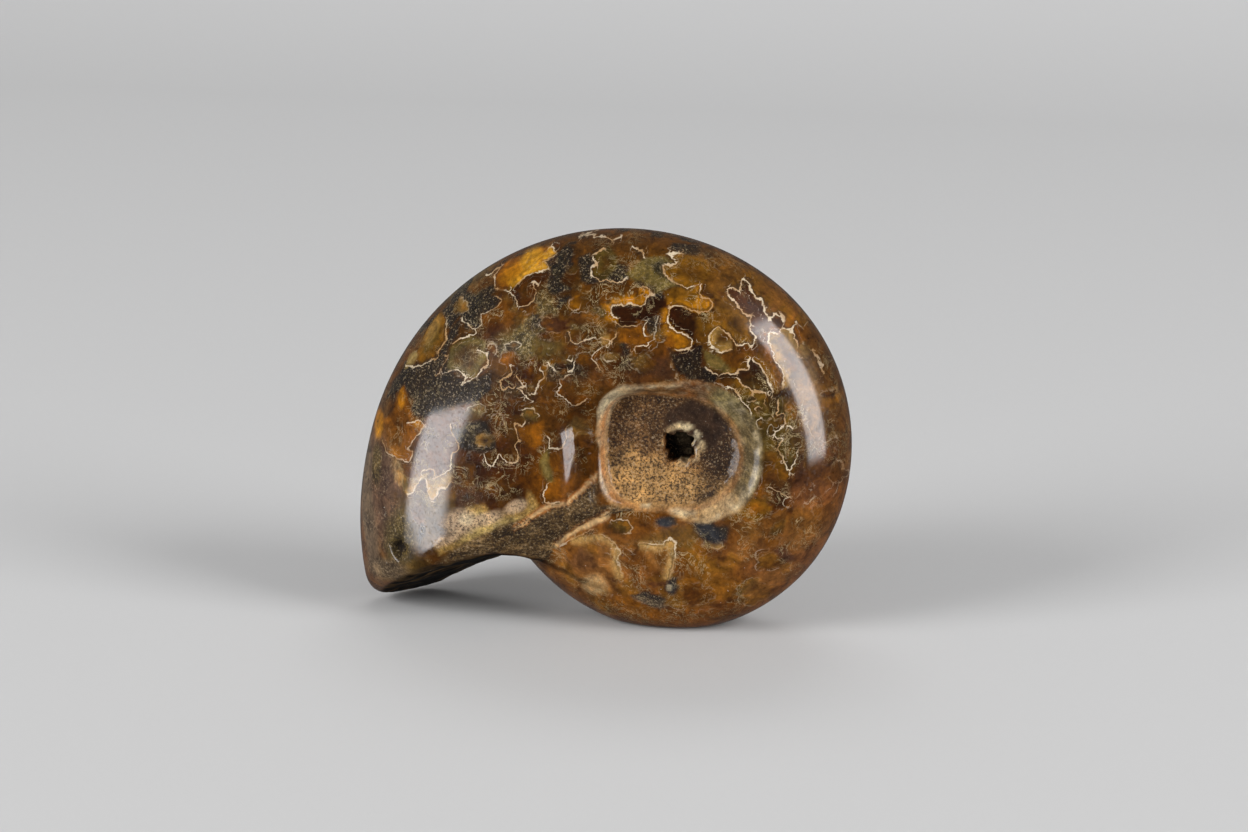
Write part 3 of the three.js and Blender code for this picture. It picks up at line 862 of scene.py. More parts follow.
FRONT_LEAVES = (  # x, z, half length, half width, turn, frills, tint, line
    (-19.0, 13.5, 0.9, 0.6, 20, 6, "pale_tan", 0.3),
    (-24.1, 8.0, 1.2, 0.35, 58, 3, "cream", 0.2),
    (-7.4, 15.1, 0.68, 0.62, 0, 5, "gold", 0.4),
    (-13.3, 9.8, 0.95, 0.8, 0, 6, "honey", 0.2),
    (-13.2, 10.9, 0.8, 0.42, 10, 5, "blue_grey", 0.7),
    (-15.1, 10.4, 0.55, 0.55, 0, 5, "honey", 0.5),
    (-8.2, 9.1, 0.6, 0.55, 0, 5, "black_matrix", 0.6),
    (-11.9, 8.2, 1.1, 0.9, 0, 6, "deep_brown", 0.0),
    (-11.4, 6.9, 0.5, 0.6, 0, 5, "grey_olive", 0.5),
    (-9.2, 13.2, 1.4, 0.7, 0, 7, "purple_brown", 0.4),
    (-6.4, 13.9, 1.6, 0.6, 5, 8, "hazy_amber", 0.3),
    (-5.9, 10.0, 1.3, 0.9, 0, 6, "olive_brown", 0.2),
    (-3.6, 10.4, 0.7, 0.5, 0, 6, "pale_tan", 0.6),
    (-4.2, 12.3, 0.45, 0.9, 20, 5, "pale_tan", 0.6),
    (9.4, 7.1, 0.5, 0.36, 20, 4, "nearly_black", 1.0),
    (8.2, 7.6, 0.6, 0.4, -20, 4, "deep_brown", 1.0),
    (9.0, 5.9, 0.62, 0.42, -30, 4, "nearly_black", 1.0),
    (10.2, 6.0, 0.42, 0.48, 0, 4, "deep_brown", 1.0),
    (10.9, 6.9, 0.4, 0.6, 0, 4, "deep_brown", 1.0),
    (10.3, 4.6, 0.5, 0.5, 0, 5, "deep_brown", 0.9),
    (11.2, 4.0, 0.34, 0.55, 0, 4, "nearly_black", 1.0),
    (13.1, 2.2, 2.6, 0.6, 88, 9, "olive_grey", 0.9),
    (13.2, 6.1, 1.5, 0.7, 80, 6, "golden_olive", 0.3),
    (15.9, 6.8, 0.62, 0.33, 0, 5, "nearly_black", 0.2),
    (13.6, 11.0, 0.9, 0.45, -60, 5, "pale_tan", 0.5),
    (-16.6, 4.6, 1.3, 0.7, 20, 7, "grey_olive", 0.5),
    (-15.8, 1.9, 0.8, 0.7, 0, 9, "pale_tan", 0.3),
    (-15.8, 1.9, 0.35, 0.3, 0, 5, "nearly_black", 0.0),
    (-11.2, 4.6, 0.9, 0.7, 0, 6, "grey_olive", 0.8),
    (-24.9, -2.1, 0.5, 1.5, 10, 8, "pale_tan", 0.4),
    (-24.0, -3.2, 0.4, 0.9, 0, 6, "grey_olive", 0.3),
    (-7.4, 3.4, 0.5, 1.1, 0, 6, "pale_tan", 0.3),
    (-3.0, -6.2, 1.2, 0.8, 0, 8, "olive_grey", 0.7),
    (6.0, -7.2, 0.9, 0.5, 0, 7, "pale_tan", 0.3),
    (8.8, -11.8, 1.4, 0.8, 30, 6, "olive_grey", 0.2),
)
FRONT_SEAMS = (  # points, line, tint left of it, tint right of it
    (((-14.0, 15.7), (-12.5, 16.7), (-10.2, 17.8), (-10.8, 18.2), (-9.9, 18.9), (-10.6, 19.3)), 1.0,
      "bright_gold", "dark_amber"),
    (((-14.0, 15.7), (-15.6, 15.7), (-16.1, 16.3), (-15.4, 17.2), (-17.2, 16.2)), 0.9, None, None),
    (((-14.0, 15.6), (-13.4, 15.2), (-13.0, 14.5), (-12.1, 14.5), (-11.4, 15.1), (-11.2, 15.8),
      (-11.7, 16.3), (-10.9, 16.4)), 0.9, "dark_amber", None),
    (((-15.4, 15.2), (-14.7, 14.9), (-15.3, 14.1), (-16.6, 13.4), (-16.5, 12.6), (-16.8, 11.9)), 0.8,
      "amber_brown", None),
    (((-18.7, 12.5), (-18.2, 12.2), (-17.1, 12.1), (-17.0, 11.6), (-18.6, 10.9), (-19.3, 10.4)), 1.1,
      None, None),
    (((-20.6, 7.4), (-19.8, 9.2), (-20.3, 9.3), (-23.4, 7.7), (-24.8, 7.2)), 0.9, None, None),
    (((-20.3, 12.1), (-20.2, 10.5), (-21.1, 9.3)), 1.1, None, "golden_olive"),
    (((-13.3, 9.2), (-13.0, 8.5), (-14.2, 7.5), (-14.0, 6.8), (-12.5, 7.3), (-12.0, 6.7),
      (-10.9, 5.9)), 1.2, "dark_amber", None),
    (((-12.6, 8.3), (-12.0, 7.5), (-12.3, 7.2)), 1.1, None, None),
    (((-10.4, 9.1), (-9.9, 8.4), (-10.7, 7.6), (-10.8, 6.8), (-11.5, 6.6)), 0.9, None, "olive_brown"),
    (((-9.7, 9.7), (-9.0, 8.8), (-8.1, 8.7), (-7.3, 9.1), (-7.4, 9.8), (-7.9, 10.0)), 1.1, None, None),
    (((-7.7, 8.7), (-8.6, 8.0), (-8.4, 7.5), (-9.0, 6.8), (-8.1, 6.6), (-7.6, 5.9), (-6.6, 5.9),
      (-5.9, 6.6)), 0.8, "red_amber", None),
    (((-20.1, 7.7), (-18.5, 8.1), (-17.6, 7.6), (-18.2, 6.7), (-17.0, 7.5), (-15.4, 9.0), (-15.5, 9.9),
      (-16.6, 10.2)), 1.1, None, None),
    (((-7.9, 12.7), (-7.7, 11.8), (-6.9, 11.6), (-6.0, 12.0), (-5.0, 12.3)), 0.9, None, "amber_brown"),
    (((-4.2, 11.5), (-5.0, 10.9), (-5.6, 10.4), (-4.8, 9.7), (-4.3, 9.0)), 0.8, "red_amber", None),
    (((-5.1, 19.6), (-6.4, 19.0), (-5.8, 18.5), (-6.3, 18.1), (-6.0, 17.7), (-5.2, 17.3), (-4.0, 17.3),
      (-3.0, 17.2), (-2.7, 17.5)), 1.2, None, None),
    (((-8.2, 20.1), (-7.1, 20.3), (-5.2, 20.5), (-4.5, 20.2), (-3.9, 20.6)), 0.8, None, None),
    (((-2.8, 20.0), (-1.8, 19.7), (-1.2, 19.1)), 0.9, None, None),
    (((1.9, 19.4), (0.8, 19.4), (1.5, 18.9), (1.6, 18.6), (0.6, 18.5), (0.9, 17.9), (1.7, 17.3),
      (2.9, 16.9), (4.1, 16.9)), 1.0, "golden_olive", None),
    (((4.4, 16.9), (4.2, 16.2), (4.6, 15.9), (5.3, 15.7), (5.4, 15.2), (5.1, 14.8), (4.4, 14.6),
      (3.6, 14.8), (2.9, 15.1), (2.0, 15.2), (1.5, 15.0), (1.4, 13.8), (2.1, 13.1), (3.3, 12.8),
      (4.0, 12.0), (3.7, 11.5), (2.4, 11.4)), 1.2, "deep_brown", "gold"),
    (((13.3, 12.7), (12.4, 13.4), (12.3, 12.9), (11.4, 14.1), (10.9, 14.4), (10.7, 13.8), (10.1, 14.5),
      (9.7, 15.4), (9.1, 15.5), (8.7, 16.1), (8.2, 16.8), (7.6, 17.1), (7.8, 16.3), (6.8, 16.6),
      (6.7, 16.2), (7.5, 15.3), (8.0, 14.7), (9.0, 14.3), (8.9, 13.3), (9.6, 12.6), (9.6, 12.0),
      (9.2, 11.7), (8.9, 12.1), (8.0, 11.9), (7.1, 12.9), (6.0, 13.4)), 1.3, "dark_amber",
      "golden_olive"),
    (((6.0, 13.4), (5.5, 12.7), (5.7, 11.8), (6.5, 11.3), (7.6, 11.5)), 1.1, "pale_tan", None),
    (((13.2, 11.5), (12.7, 12.3), (12.3, 13.0), (11.6, 13.2), (11.6, 12.7), (10.7, 12.9), (10.7, 12.1),
      (11.2, 11.3), (11.4, 10.5), (11.9, 9.7), (12.2, 8.8), (12.1, 7.8)), 1.3, "pale_tan", "honey"),
    (((10.8, 7.5), (10.1, 7.9), (9.7, 7.8), (8.7, 8.4), (8.2, 9.2), (8.3, 9.9), (9.2, 9.8),
      (9.0, 10.5), (9.4, 10.7), (10.1, 10.2), (10.8, 9.1), (11.4, 7.5)), 1.4, "golden_olive",
      "deep_brown"),
    (((-3.2, 13.7), (-3.1, 14.1), (-3.8, 14.6), (-3.7, 15.2), (-2.3, 15.5), (-1.0, 15.3), (-0.7, 16.0),
      (-0.1, 16.3), (-0.7, 16.8), (-1.4, 16.8)), 1.1, "gold", "deep_brown"),
    (((-3.2, 13.7), (-2.7, 13.4), (-1.4, 13.5), (-0.5, 14.0)), 0.8, "deep_brown", None),
    (((-0.6, 14.0), (-0.7, 13.0), (0.1, 12.5), (-0.1, 11.9), (-1.1, 11.6), (-1.4, 11.0)), 1.0, None,
      "honey"),
    (((0.4, 14.4), (0.5, 12.4)), 0.5, None, None),
    (((-4.7, 12.3), (-3.9, 12.2), (-3.6, 11.6), (-3.1, 12.6)), 0.9, None, None),
    (((5.3, 9.8), (6.4, 9.3), (7.2, 9.6), (8.1, 9.4)), 1.0, None, "nearly_black"),
    (((7.2, 8.3), (8.1, 7.7), (8.6, 6.8), (9.3, 6.0), (9.4, 5.3)), 1.2, None, None),
    (((11.7, 7.0), (11.8, 5.4), (12.4, 5.6), (12.6, 4.4), (13.2, 4.0)), 1.2, "olive_grey", None),
    (((12.3, 4.3), (11.5, 3.5), (12.3, 3.1), (11.8, 2.2), (12.3, 1.4), (12.4, 0.3)), 1.2, "olive_grey",
      None),
    (((13.4, 1.2), (12.8, -0.1), (12.4, 0.9)), 1.0, None, None),
    (((11.1, -1.4), (13.1, -2.5), (12.4, -2.6), (12.5, -3.4)), 0.8, None, None),
    (((-15.7, 0.6), (-15.5, -0.3), (-15.0, -0.6), (-14.6, 0.1), (-14.2, 0.8), (-13.5, 0.0),
      (-12.8, 0.0), (-12.4, 0.6), (-12.6, 1.6), (-12.1, 2.1), (-12.5, 3.0), (-12.7, 3.8), (-11.8, 3.4),
      (-11.6, 4.0)), 1.0, "olive_brown", None),
    (((-23.8, -4.2), (-23.1, -4.0), (-22.3, -2.3), (-21.6, -2.1), (-21.5, -3.8), (-21.0, -4.5),
      (-20.5, -3.9), (-20.3, -3.2), (-19.3, -3.2), (-18.8, -2.6)), 1.3, "pale_tan", None),
    (((-22.3, -1.6), (-21.2, -1.3), (-20.7, -1.4), (-20.8, -2.3), (-19.8, -2.0), (-18.8, -1.2),
      (-18.9, 0.2), (-18.1, 1.0), (-19.0, 2.3), (-19.3, 3.2)), 1.0, None, None),
    (((-9.7, 2.6), (-9.4, 2.0), (-9.7, 1.1)), 1.0, None, None),
    (((-9.8, -1.8), (-9.8, -2.4), (-10.1, -3.0), (-9.9, -3.5), (-9.4, -3.9), (-8.6, -3.6)), 1.1,
      "honey", None),
    (((-9.5, 1.4), (-8.9, 1.2), (-8.3, 1.4), (-8.0, 2.2), (-8.0, 3.5)), 0.7, "dark_amber", None),
    (((-26.7, 0.2), (-26.2, -0.6), (-24.9, -1.0), (-23.6, -1.0), (-23.1, 0.0), (-24.0, 0.2),
      (-22.4, 1.9), (-21.8, 2.8), (-22.3, 3.0), (-23.9, 2.5)), 0.9, "honey", None),
    (((-7.9, -7.8), (-5.1, -7.2), (-3.6, -7.8), (-3.0, -8.8), (-3.4, -9.6), (-2.9, -11.2)), 0.6, None,
      "pale_tan"),
    (((-1.1, -7.6), (1.0, -7.7), (1.8, -7.0), (2.4, -7.4), (2.3, -8.9), (1.7, -11.2)), 0.9, None,
      "pale_tan"),
    (((-9.1, -8.6), (-7.4, -7.6), (-5.6, -6.6)), 0.7, None, None),
    (((14.3, 10.9), (14.7, 10.0), (15.4, 8.5)), 0.7, None, None),
)
LATE_BLOTS = (  # x, z, reach in x and z, tint, strength, turn
    (-26.6, -4.5, 1.8, 6.0, "band_brown", 0.9, 6),
    (-28.8, -5, 0.9, 8, "edge_grey", 0.7, 6),
    (-24.5, -12.0, 3.5, 1.6, "olive_grey", 0.6, 20),
    (-27.5, 1.4, 0.7, 1.2, "gold", 0.7, 0),
    (-22.6, 2.7, 0.7, 0.4, "gold", 0.7, 0),
    (-24.7, 4.6, 0.4, 1.0, "gold", 0.7, 0),
    (-21.9, 10.9, 0.5, 1.5, "pale_tan", 0.5, -35),
    (-12.2, 18.2, 1.3, 0.9, "bright_gold", 0.6, 20),
    (14.4, 6.6, 1.0, 4.4, "pink_grey", 0.7, 12),
    (10.5, -11.5, 3.0, 1.2, "hazy_amber", 0.5, 35),
    (13.8, -6.0, 1.4, 2.6, "hazy_amber", 0.5, -20),
    (14.8, -2.6, 2.0, 1.4, "pink_rust", 0.7, 0),
    (-2.0, -14.8, 3.0, 1.0, "honey", 0.5, -15),
)


CRUSTS = (  # laid on after the amber is deepened: x, z, reach in x and z, tint, strength, turn, grain
    (-18.2, -6.3, 2.0, 1.3, "crust", 0.9, 25, 0.9),
    (-15.6, -5.7, 1.8, 0.7, "crust", 0.9, 22, 0.9),
    (-12.8, -4.3, 1.2, 0.6, "crust", 0.8, 25, 0.8),
    (-19.6, -8.3, 1.6, 0.5, "crust", 0.8, 25, 0.9),
    (-17.6, -5.9, 0.8, 0.6, "cream", 0.7, 10, 0.5),
    (1.1, -5.7, 0.9, 0.5, "blue_black", 1.0, -10, 0.3),
    (5.6, -6.3, 1.5, 0.9, "blue_black", 1.0, -25, 0.4),
    (-0.5, -13.8, 1.7, 0.45, "edge_grey", 0.9, -14, 0.9),
    (1.7, -12.3, 0.55, 0.7, "blue_black", 0.9, 0, 0.3),
    (1.55, -12.2, 0.25, 0.4, "rim_pale", 0.8, 0, 0.3),
    (-5.9, -12.5, 1.4, 1.1, "pale_tan", 0.6, 30, 0.4),
)


def base_tints(skin):
    """The stone before its pattern: cloudy ambers, darker at the outer edge."""
    share = skin.radius / outer_radius(np.where(skin.angle > -130, skin.angle, skin.angle + 360))
    cloud = clouds(skin.p, 5.0, 101, 3)
    skin.tint(smooth(0.45, 0.75, cloud), "olive_brown")
    skin.tint(0.7 * smooth(0.55, 0.25, cloud), "dark_amber")
    skin.tint(0.7 * smooth(0.5, 0.75, clouds(skin.p, 3.0, 131, 3)), "golden_olive")
    older = smooth(10, -40, np.where(skin.angle > -150, skin.angle, 200))
    skin.tint(0.8 * older, "red_amber")
    skin.tint(0.5 * older * smooth(0.4, 0.7, clouds(skin.p, 3.0, 151, 3)), "hazy_amber")
    venter = smooth(0.80, 0.97, share) * smooth(7.0, 4.0, np.abs(skin.y))
    skin.tint(0.75 * venter, "venter_brown")
    skin.net[:] = 0.6 - 0.35 * venter


def strew(skin, dice, side, count, kinds, angles, radii, lengths, widths, leans, frills, lines, **finish):
    """Leaves of mixed kinds thrown along the coil, each lying across it. A pair is a least and a most."""
    for _ in range(count):
        angle = dice.uniform(*angles)
        radius = dice.uniform(*radii) * float(outer_radius(angle))
        turn = math.radians(angle)
        length = dice.uniform(*lengths)
        kind = kinds[dice.integers(len(kinds))]
        skin.leaf(side, radius * math.cos(turn), radius * math.sin(turn), length,
                  length * dice.uniform(*widths), angle + dice.uniform(*leans),
                  int(dice.integers(*frills)), kind, dice.uniform(*lines), **finish)


def back_pattern(skin):
    """The hidden flank: the same kinds of lobes, strewn along the coil."""
    kinds = ("dark_amber", "golden_olive", "honey", "olive_grey", "deep_brown", "red_amber", "pale_tan",
             "black_matrix")
    strew(skin, np.random.default_rng(86), 1, 150, kinds, (-170, 205), (0.42, 0.9), (0.9, 2.4),
          (0.45, 0.8), (60, 120), (6, 11), (0.3, 1.0))


def front_pattern(skin):
    """The shown flank: clouds, small strewn lobes, then the large patches and walls, each in its place."""
    for x, z, reach_x, reach_z, name, strength, turn in FRONT_BLOTS:
        skin.blot(-1, x, z, reach_x, reach_z, name, strength, turn)
    dice = np.random.default_rng(19)
    kinds = ("dark_amber", "golden_olive", "olive_brown", "deep_brown", "olive_grey", "amber_brown")
    strew(skin, dice, -1, 110, kinds, (-30, 200), (0.48, 0.93), (0.6, 2.0),
          (0.45, 0.8), (60, 120), (5, 10), (0.0, 0.4), opacity=0.6)
    kinds = ("golden_olive", "hazy_amber", "amber_brown", "rust", "honey", "dark_amber", "purple_brown")
    strew(skin, dice, -1, 70, kinds, (-150, 5), (0.5, 0.95), (0.5, 2.2),
          (0.3, 0.8), (40, 140), (5, 10), (0.0, 0.3), glow=None, opacity=0.5)
    middle = (skin.y < 0) * smooth(1.2, 0.6, np.hypot((skin.x + 7) / 9, (skin.z - 12.5) / 4))
    crumbs = middle * smooth(0.5, 0.62, clouds(skin.p, 1.3, 321, 3))
    skin.tint(0.6 * crumbs, "grey_olive")
    skin.grain += (0.7 - skin.grain) * crumbs
    speckled = smooth(0.56, 0.64, clouds(skin.p, 2.2, 301, 3)) * (skin.y < 0)
    speckled *= smooth(8, 12, skin.z - 0.25 * skin.x) * smooth(6, 2, skin.x)
    skin.tint(0.85 * speckled, "black_matrix")
    skin.grain += (0.7 - skin.grain) * speckled
    for points, name, further_in, matrix in FRONT_PATCHES:
        skin.patch(-1, points, name, 0, further_in, 0.9, matrix)
    for x, z, length, width, turn, frills, name, line in FRONT_LEAVES:
        skin.leaf(-1, x, z, length, width, turn, frills, name, line)
    for points, line, left, right in FRONT_SEAMS:
        skin.seam(-1, points, line, left, right)
    skin.blot(-1, 9.6, 4.5, 2.2, 4.6, "olive_grey", 0.5, net=1.0)
    for x, z, reach_x, reach_z, name, strength, turn in LATE_BLOTS:
        skin.blot(-1, x, z, reach_x, reach_z, name, strength, turn)
    bare = (skin.y < 0) * smooth(-24.6, -25.6, skin.x + 0.12 * skin.z) * smooth(0, -2, skin.z)
    quiet(skin, 0.9 * bare)
    skin.grain += (0.6 * smooth(0.45, 0.65, clouds(skin.p, 1.4, 311, 2)) - skin.grain) * bare
    skin.blot(-1, -24.6, -8.8, 1.9, 2.6, "olive_grey", 0.8, 0, polish=0.25, grain=0.95)
    skin.blot(-1, -26.5, -12.5, 3.0, 1.2, "edge_grey", 0.7, 10, polish=0.25, grain=0.8)
    skin.blot(-1, -27.4, -2.2, 0.8, 2.0, "olive_grey", 0.7, 0, polish=0.3, grain=0.95)
    skin.dent(-24.8, -10.0, 0.75, 0.8, 0.8)
    cleft = ((-22.3, -6.7), (-21.75, -7.1), (-21.9, -7.9), (-22.3, -8.5), (-22.5, -9.4), (-22.7, -8.3),
             (-22.45, -7.4))
    skin.patch(-1, cleft, "nearly_black", 0, None, 1.0, 0.9)
    sliver = ((-20.6, -6.7), (-19.7, -7.0), (-19.2, -7.6), (-20.2, -7.4))
    skin.patch(-1, sliver, "nearly_black", 0, None, 0.9, 0.8)


def quiet(skin, share):
    """Wipes the shell's lines where the stone isn't shell."""
    skin.line *= 1 - np.clip(share, 0, 1)
    skin.net *= 1 - np.clip(share, 0, 1)


def navel(skin):
    """The two hollows: granular floors, and a rim of cream and orange bands round each, the cream band low
    on the right a painted highlight.
    """
    for hollow in HOLLOWS:
        side, hollow_x, hollow_z = hollow[:3]
        across, up = skin.x - hollow_x, skin.z - hollow_z
        turn = np.degrees(np.arctan2(up, across))
        lift = side * skin.y - PLUG_HALF
        wall = wall_reach(hollow, across, up, np.clip(lift / HOLLOW_HEIGHT, 0, 1.2)) - np.hypot(across, up)
        on_side = side * skin.y > 2
        wobble = clouds(skin.p, 1.2, 211, 2) - 0.5
        left = smooth(60, 20, 180 - np.abs(turn))
        rim = on_side * smooth(-0.55, -0.3, wall - 0.25 * left + 0.35 * wobble) * smooth(-0.4, -0.2, lift)
        # The band round -48 degrees, low on the right, is a painted highlight standing for a reflection; the
        # other bands are the rim's own colours.
        for middle, spread, name in ((180, 45, "rim_cream"), (135, 25, "rim_pale"), (95, 30, "floor_tan"),
                                     (62, 22, "rim_rust"), (35, 25, "grey_olive"), (0, 35, "side_olive"),
                                     (-48, 18, "rim_cream"), (-100, 35, "floor_gold")):
            off = np.abs((turn - middle + 180) % 360 - 180)
            skin.tint(rim * smooth(1.35 * spread, 0.5 * spread, off + 12 * wobble), name)
        foot = np.exp(-((lift - 0.45 - 0.6 * left) / (0.22 + 0.5 * left)) ** 2)
        skin.tint((0.45 + 0.4 * left) * rim * foot * (wall < 0.6), "rim_orange")
        crest = np.exp(-((wall + 0.18) / 0.16) ** 2) * smooth(0.4, 0.7, clouds(skin.p, 0.9, 241, 2))
        skin.tint(0.7 * rim * crest, "rim_pale")
        floor = on_side * smooth(0.55, 0.25, lift + 0.2 * wobble) * smooth(-0.1, 0.2, wall)
        skin.tint(floor, "floor_tan")
        skin.tint(0.9 * floor * smooth(-0.2, -2.6, up + 0.2 * across + 2.5 * wobble), "floor_gold")
        ground = floor * smooth(1.12, 0.92, np.hypot((across - 2.2) / 2.9, (up - 2.4) / 2.5) + 0.4 * wobble)
        dark = floor * smooth(-0.6, 1.6, up + 0.35 * np.abs(across) + 4 * wobble)
        skin.tint(0.55 * dark, "floor_dark")
        skin.tint(0.7 * floor * smooth(2.6, 4.2, across - 0.2 * up + 2 * wobble), "floor_dark")
        skin.tint(0.92 * ground, "floor_dark")
        skin.grain += (1 - 0.85 * ground - skin.grain) * np.maximum(floor, 0)
        skin.grain += (0.4 - skin.grain) * rim * (1 - floor)
        skin.polish += (0.35 * rim + 0.45 * ground - skin.polish) * np.maximum(floor, rim)
        skin.polish *= 1 - on_side * left * smooth(-7.0, -6.7, skin.x) * smooth(-5.0, -5.4, skin.x)
        skin.rise += floor * (1 - ground) * 0.16 * (clouds(skin.p, 0.55, 271) - 0.5)
        quiet(skin, np.maximum(floor, rim))
    for side, pit_x, pit_z, pit_radius, depth in PITS:
        far = np.hypot(skin.x - pit_x, skin.z - pit_z) / pit_radius
        lift = side * skin.y - PLUG_HALF
        turn = np.arctan2(skin.z - pit_z, skin.x - pit_x)
        ragged = far + 0.55 * (clouds(skin.p, 0.7, 231, 2) - 0.5) - 0.22 * np.cos(turn - 0.3)
        ragged = ragged + 0.18 * smooth(0.8, 2.2, np.abs(turn - 0.9))
        druse = (side * skin.y > 2) * smooth(1.5, 1.3, ragged) * smooth(0.3, 0.5, clouds(skin.p, 0.5, 232))
        skin.tint(0.85 * druse * smooth(1.3, 0.2, np.abs(turn - 0.9)), "rim_pale")
        skin.tint(0.7 * druse * smooth(0.2, 1.3, np.abs(turn - 0.9)), "rim_cream")
        skin.grain += (0.7 - skin.grain) * druse
        skin.rise += 0.3 * druse * clouds(skin.p, 0.4, 233) * smooth(-0.1, 0.1, lift)
        inside = (side * skin.y > 0) * smooth(1.25, 1.1, far)
        skin.tint(inside * smooth(-0.15, -0.4, lift), "hazy_amber")
        # Painted shade: the pit darkens to near black with depth.
        skin.tint(inside * smooth(-0.9, -2.0, lift), "nearly_black")
        # The pit's middle ridge is pale, tinted paler still as painted light against the pit's shade.
        ridge = np.exp(-((skin.x - pit_x + 0.25 * (skin.z - pit_z)) / 0.4) ** 2)
        skin.tint(0.95 * inside * ridge * smooth(-0.3, -0.5, lift), "rim_pale")
        skin.polish *= 1 - inside * smooth(-0.1, -0.3, lift)


BEVEL_TOP = ((-13.1, -6.7), (-11.8, -5.8), (-10.6, -4.8), (-9.4, -4.1), (-8.0, -3.9), (-6.3, -2.4),
             (-5.3, -1.4))
BEVEL_FOOT = ((-9.6, -8.9), (-8.8, -8.0), (-7.3, -6.9), (-5.6, -5.9), (-4.1, -5.2))


def broken_faces(skin):
    """The mouth's face, painted near black as shade where it faces down, the granular bevel beside it, and
    the thin bright borders of that bevel.
    """
    x, y, z = skin.p.T
    young = (skin.angle > 100) | (skin.angle < -100)
    mouth = young * smooth(0.45, 0.1, np.abs(mouth_height(x, y) - z)) * (x < -5)
    mouth = mouth * smooth(-0.2, -0.55, skin.normal[:, 2])
    # Painted shade: the downward-facing part of the mouth's face is tinted near black.
    skin.tint(mouth, "mouth_painted_shade")
    skin.tint(0.6 * mouth * smooth(0.45, 0.7, clouds(skin.p * (0.4, 1.5, 1.5), 1.5, 251, 3)), "bevel_olive")
    bevel = 0
    for at, normal in BEVELS:
        face = np.array(normal) / np.linalg.norm(normal)
        flat = np.abs((skin.p - np.array(at)) @ face)
        bevel = np.maximum(bevel, smooth(0.25, 0.08, flat) * smooth(0.85, 0.95, skin.normal @ face))
    bevel = bevel * (skin.radius < 26) * (x < -2)
    along = skin.p * (0.55, 1.0, 1.0)
    skin.tint(bevel, "bevel_olive")
    skin.tint(0.35 * bevel * smooth(0.5, 0.7, clouds(along, 0.9, 261, 3)), "pale_tan")
    skin.tint(0.4 * bevel * smooth(0.5, 0.35, clouds(along, 0.8, 265, 3)), "nearly_black")
    front = skin.y < 0
    top, foot = [np.interp(x, *zip(*points)) for points in (BEVEL_TOP, BEVEL_FOOT)]
    narrow = front * young * smooth(0.1, 0.3, top - z) * smooth(0.1, 0.3, z - foot) * (x > -9.6) * (x < -4.3)
    narrow = narrow * smooth(-4.9, -5.5, x)
    skin.tint(narrow, "bevel_olive")
    bevel = np.maximum(bevel, narrow)
    for points, width, name in ((BEVEL_TOP, 0.30, "rim_orange"), (BEVEL_TOP, 0.14, "rim_cream"),
                                (BEVEL_FOOT, 0.42, "rim_rust"), (BEVEL_FOOT, 0.20, "rim_cream")):
        off = np.abs(np.interp(x, *zip(*points)) - z + 0.6 * (clouds(skin.p, 1.0, 267, 2) - 0.5))
        near = (x > points[0][0]) & (x < points[-1][0]) & front & young
        skin.tint(0.9 * near * smooth(1.9 * width, 0.6 * width, off), name)
    rough = np.maximum(mouth, bevel)
    skin.grain += (0.9 * bevel - skin.grain) * rough
    skin.polish += (0.2 * bevel + 0.06 * mouth - skin.polish) * rough
    skin.rise += bevel * 0.3 * (clouds(skin.p, 0.7, 281, 2) - 0.5)
    skin.rise += mouth * 0.55 * (clouds(skin.p * (1, 0.5, 1), 2.2, 285, 3) - 0.5)
    quiet(skin, rough)


def deepen(skin):
    """Darkens the paint over most of the stone, less towards the lower left. The left band stays."""
    # thin marks the lower left, where the paint is darkened less.
    thin = (smooth(-4, -9, skin.z) * smooth(-12, -9, skin.x))[:, None]
    band = (smooth(-23.5, -25.5, skin.x + 0.12 * skin.z) * smooth(3, -1, skin.z))[:, None]
    depth = TONE_KEPT + (TONE_KEPT_LOWER_LEFT - TONE_KEPT) * thin
    skin.paint *= depth + (1 - depth) * band


def pattern(p, normal):
    skin = Skin(p, normal)
    base_tints(skin)
    back_pattern(skin)
    front_pattern(skin)
    deepen(skin)
    for x, z, reach_x, reach_z, name, strength, turn, grain in CRUSTS:
        skin.blot(-1, x, z, reach_x, reach_z, name, strength, turn, polish=1 - 0.6 * grain, grain=grain)
    navel(skin)
    broken_faces(skin)
    return skin


def store(stone, name, kind, values):
    layer = stone.data.attributes.new(name, kind, "POINT")
    field = "color" if kind == "FLOAT_COLOR" else "vector"
    layer.data.foreach_set(field, np.ascontiguousarray(values, dtype=np.float32).ravel())


def bake_map(stone, p):
    """Both faces unrolled flat for textures: the front in the lower half, the back in the upper one."""
    mesh = stone.data
    corners = np.empty(len(mesh.loops), dtype=np.int64)
    mesh.loops.foreach_get("vertex_index", corners)
    sizes = np.empty(len(mesh.polygons), dtype=np.int64)
    mesh.polygons.foreach_get("loop_total", sizes)
    face = np.repeat(np.arange(len(sizes)), sizes)
    back = (np.bincount(face, p[corners, 1]) > 0)[face]
    spread = 1 + 0.2 * (1 - np.abs(p[corners, 1]) / 9)
    u = (p[corners, 0] * spread + 36.5) / 58.6
    v = (p[corners, 2] * spread + 21.2) / 46.8 * 0.49 + np.where(back, 0.505, 0.005)
    layer = mesh.uv_layers.new(name="OFBake")
    layer.data.foreach_set("uv", np.column_stack([u, v]).astype(np.float32).ravel())


def stored(tree, name):
    """What the mesh holds under a name, point by point."""
    made = add(tree, "ShaderNodeAttribute")
    made.attribute_name = name
    return made


def vector_sum(tree, operation, a, b=(0, 0, 0)):
    made = tree.nodes.new("ShaderNodeVectorMath")
    made.operation = operation
    tree.links.new(a, made.inputs[0])
    made.inputs[1].default_value = b
    return made.outputs[0]


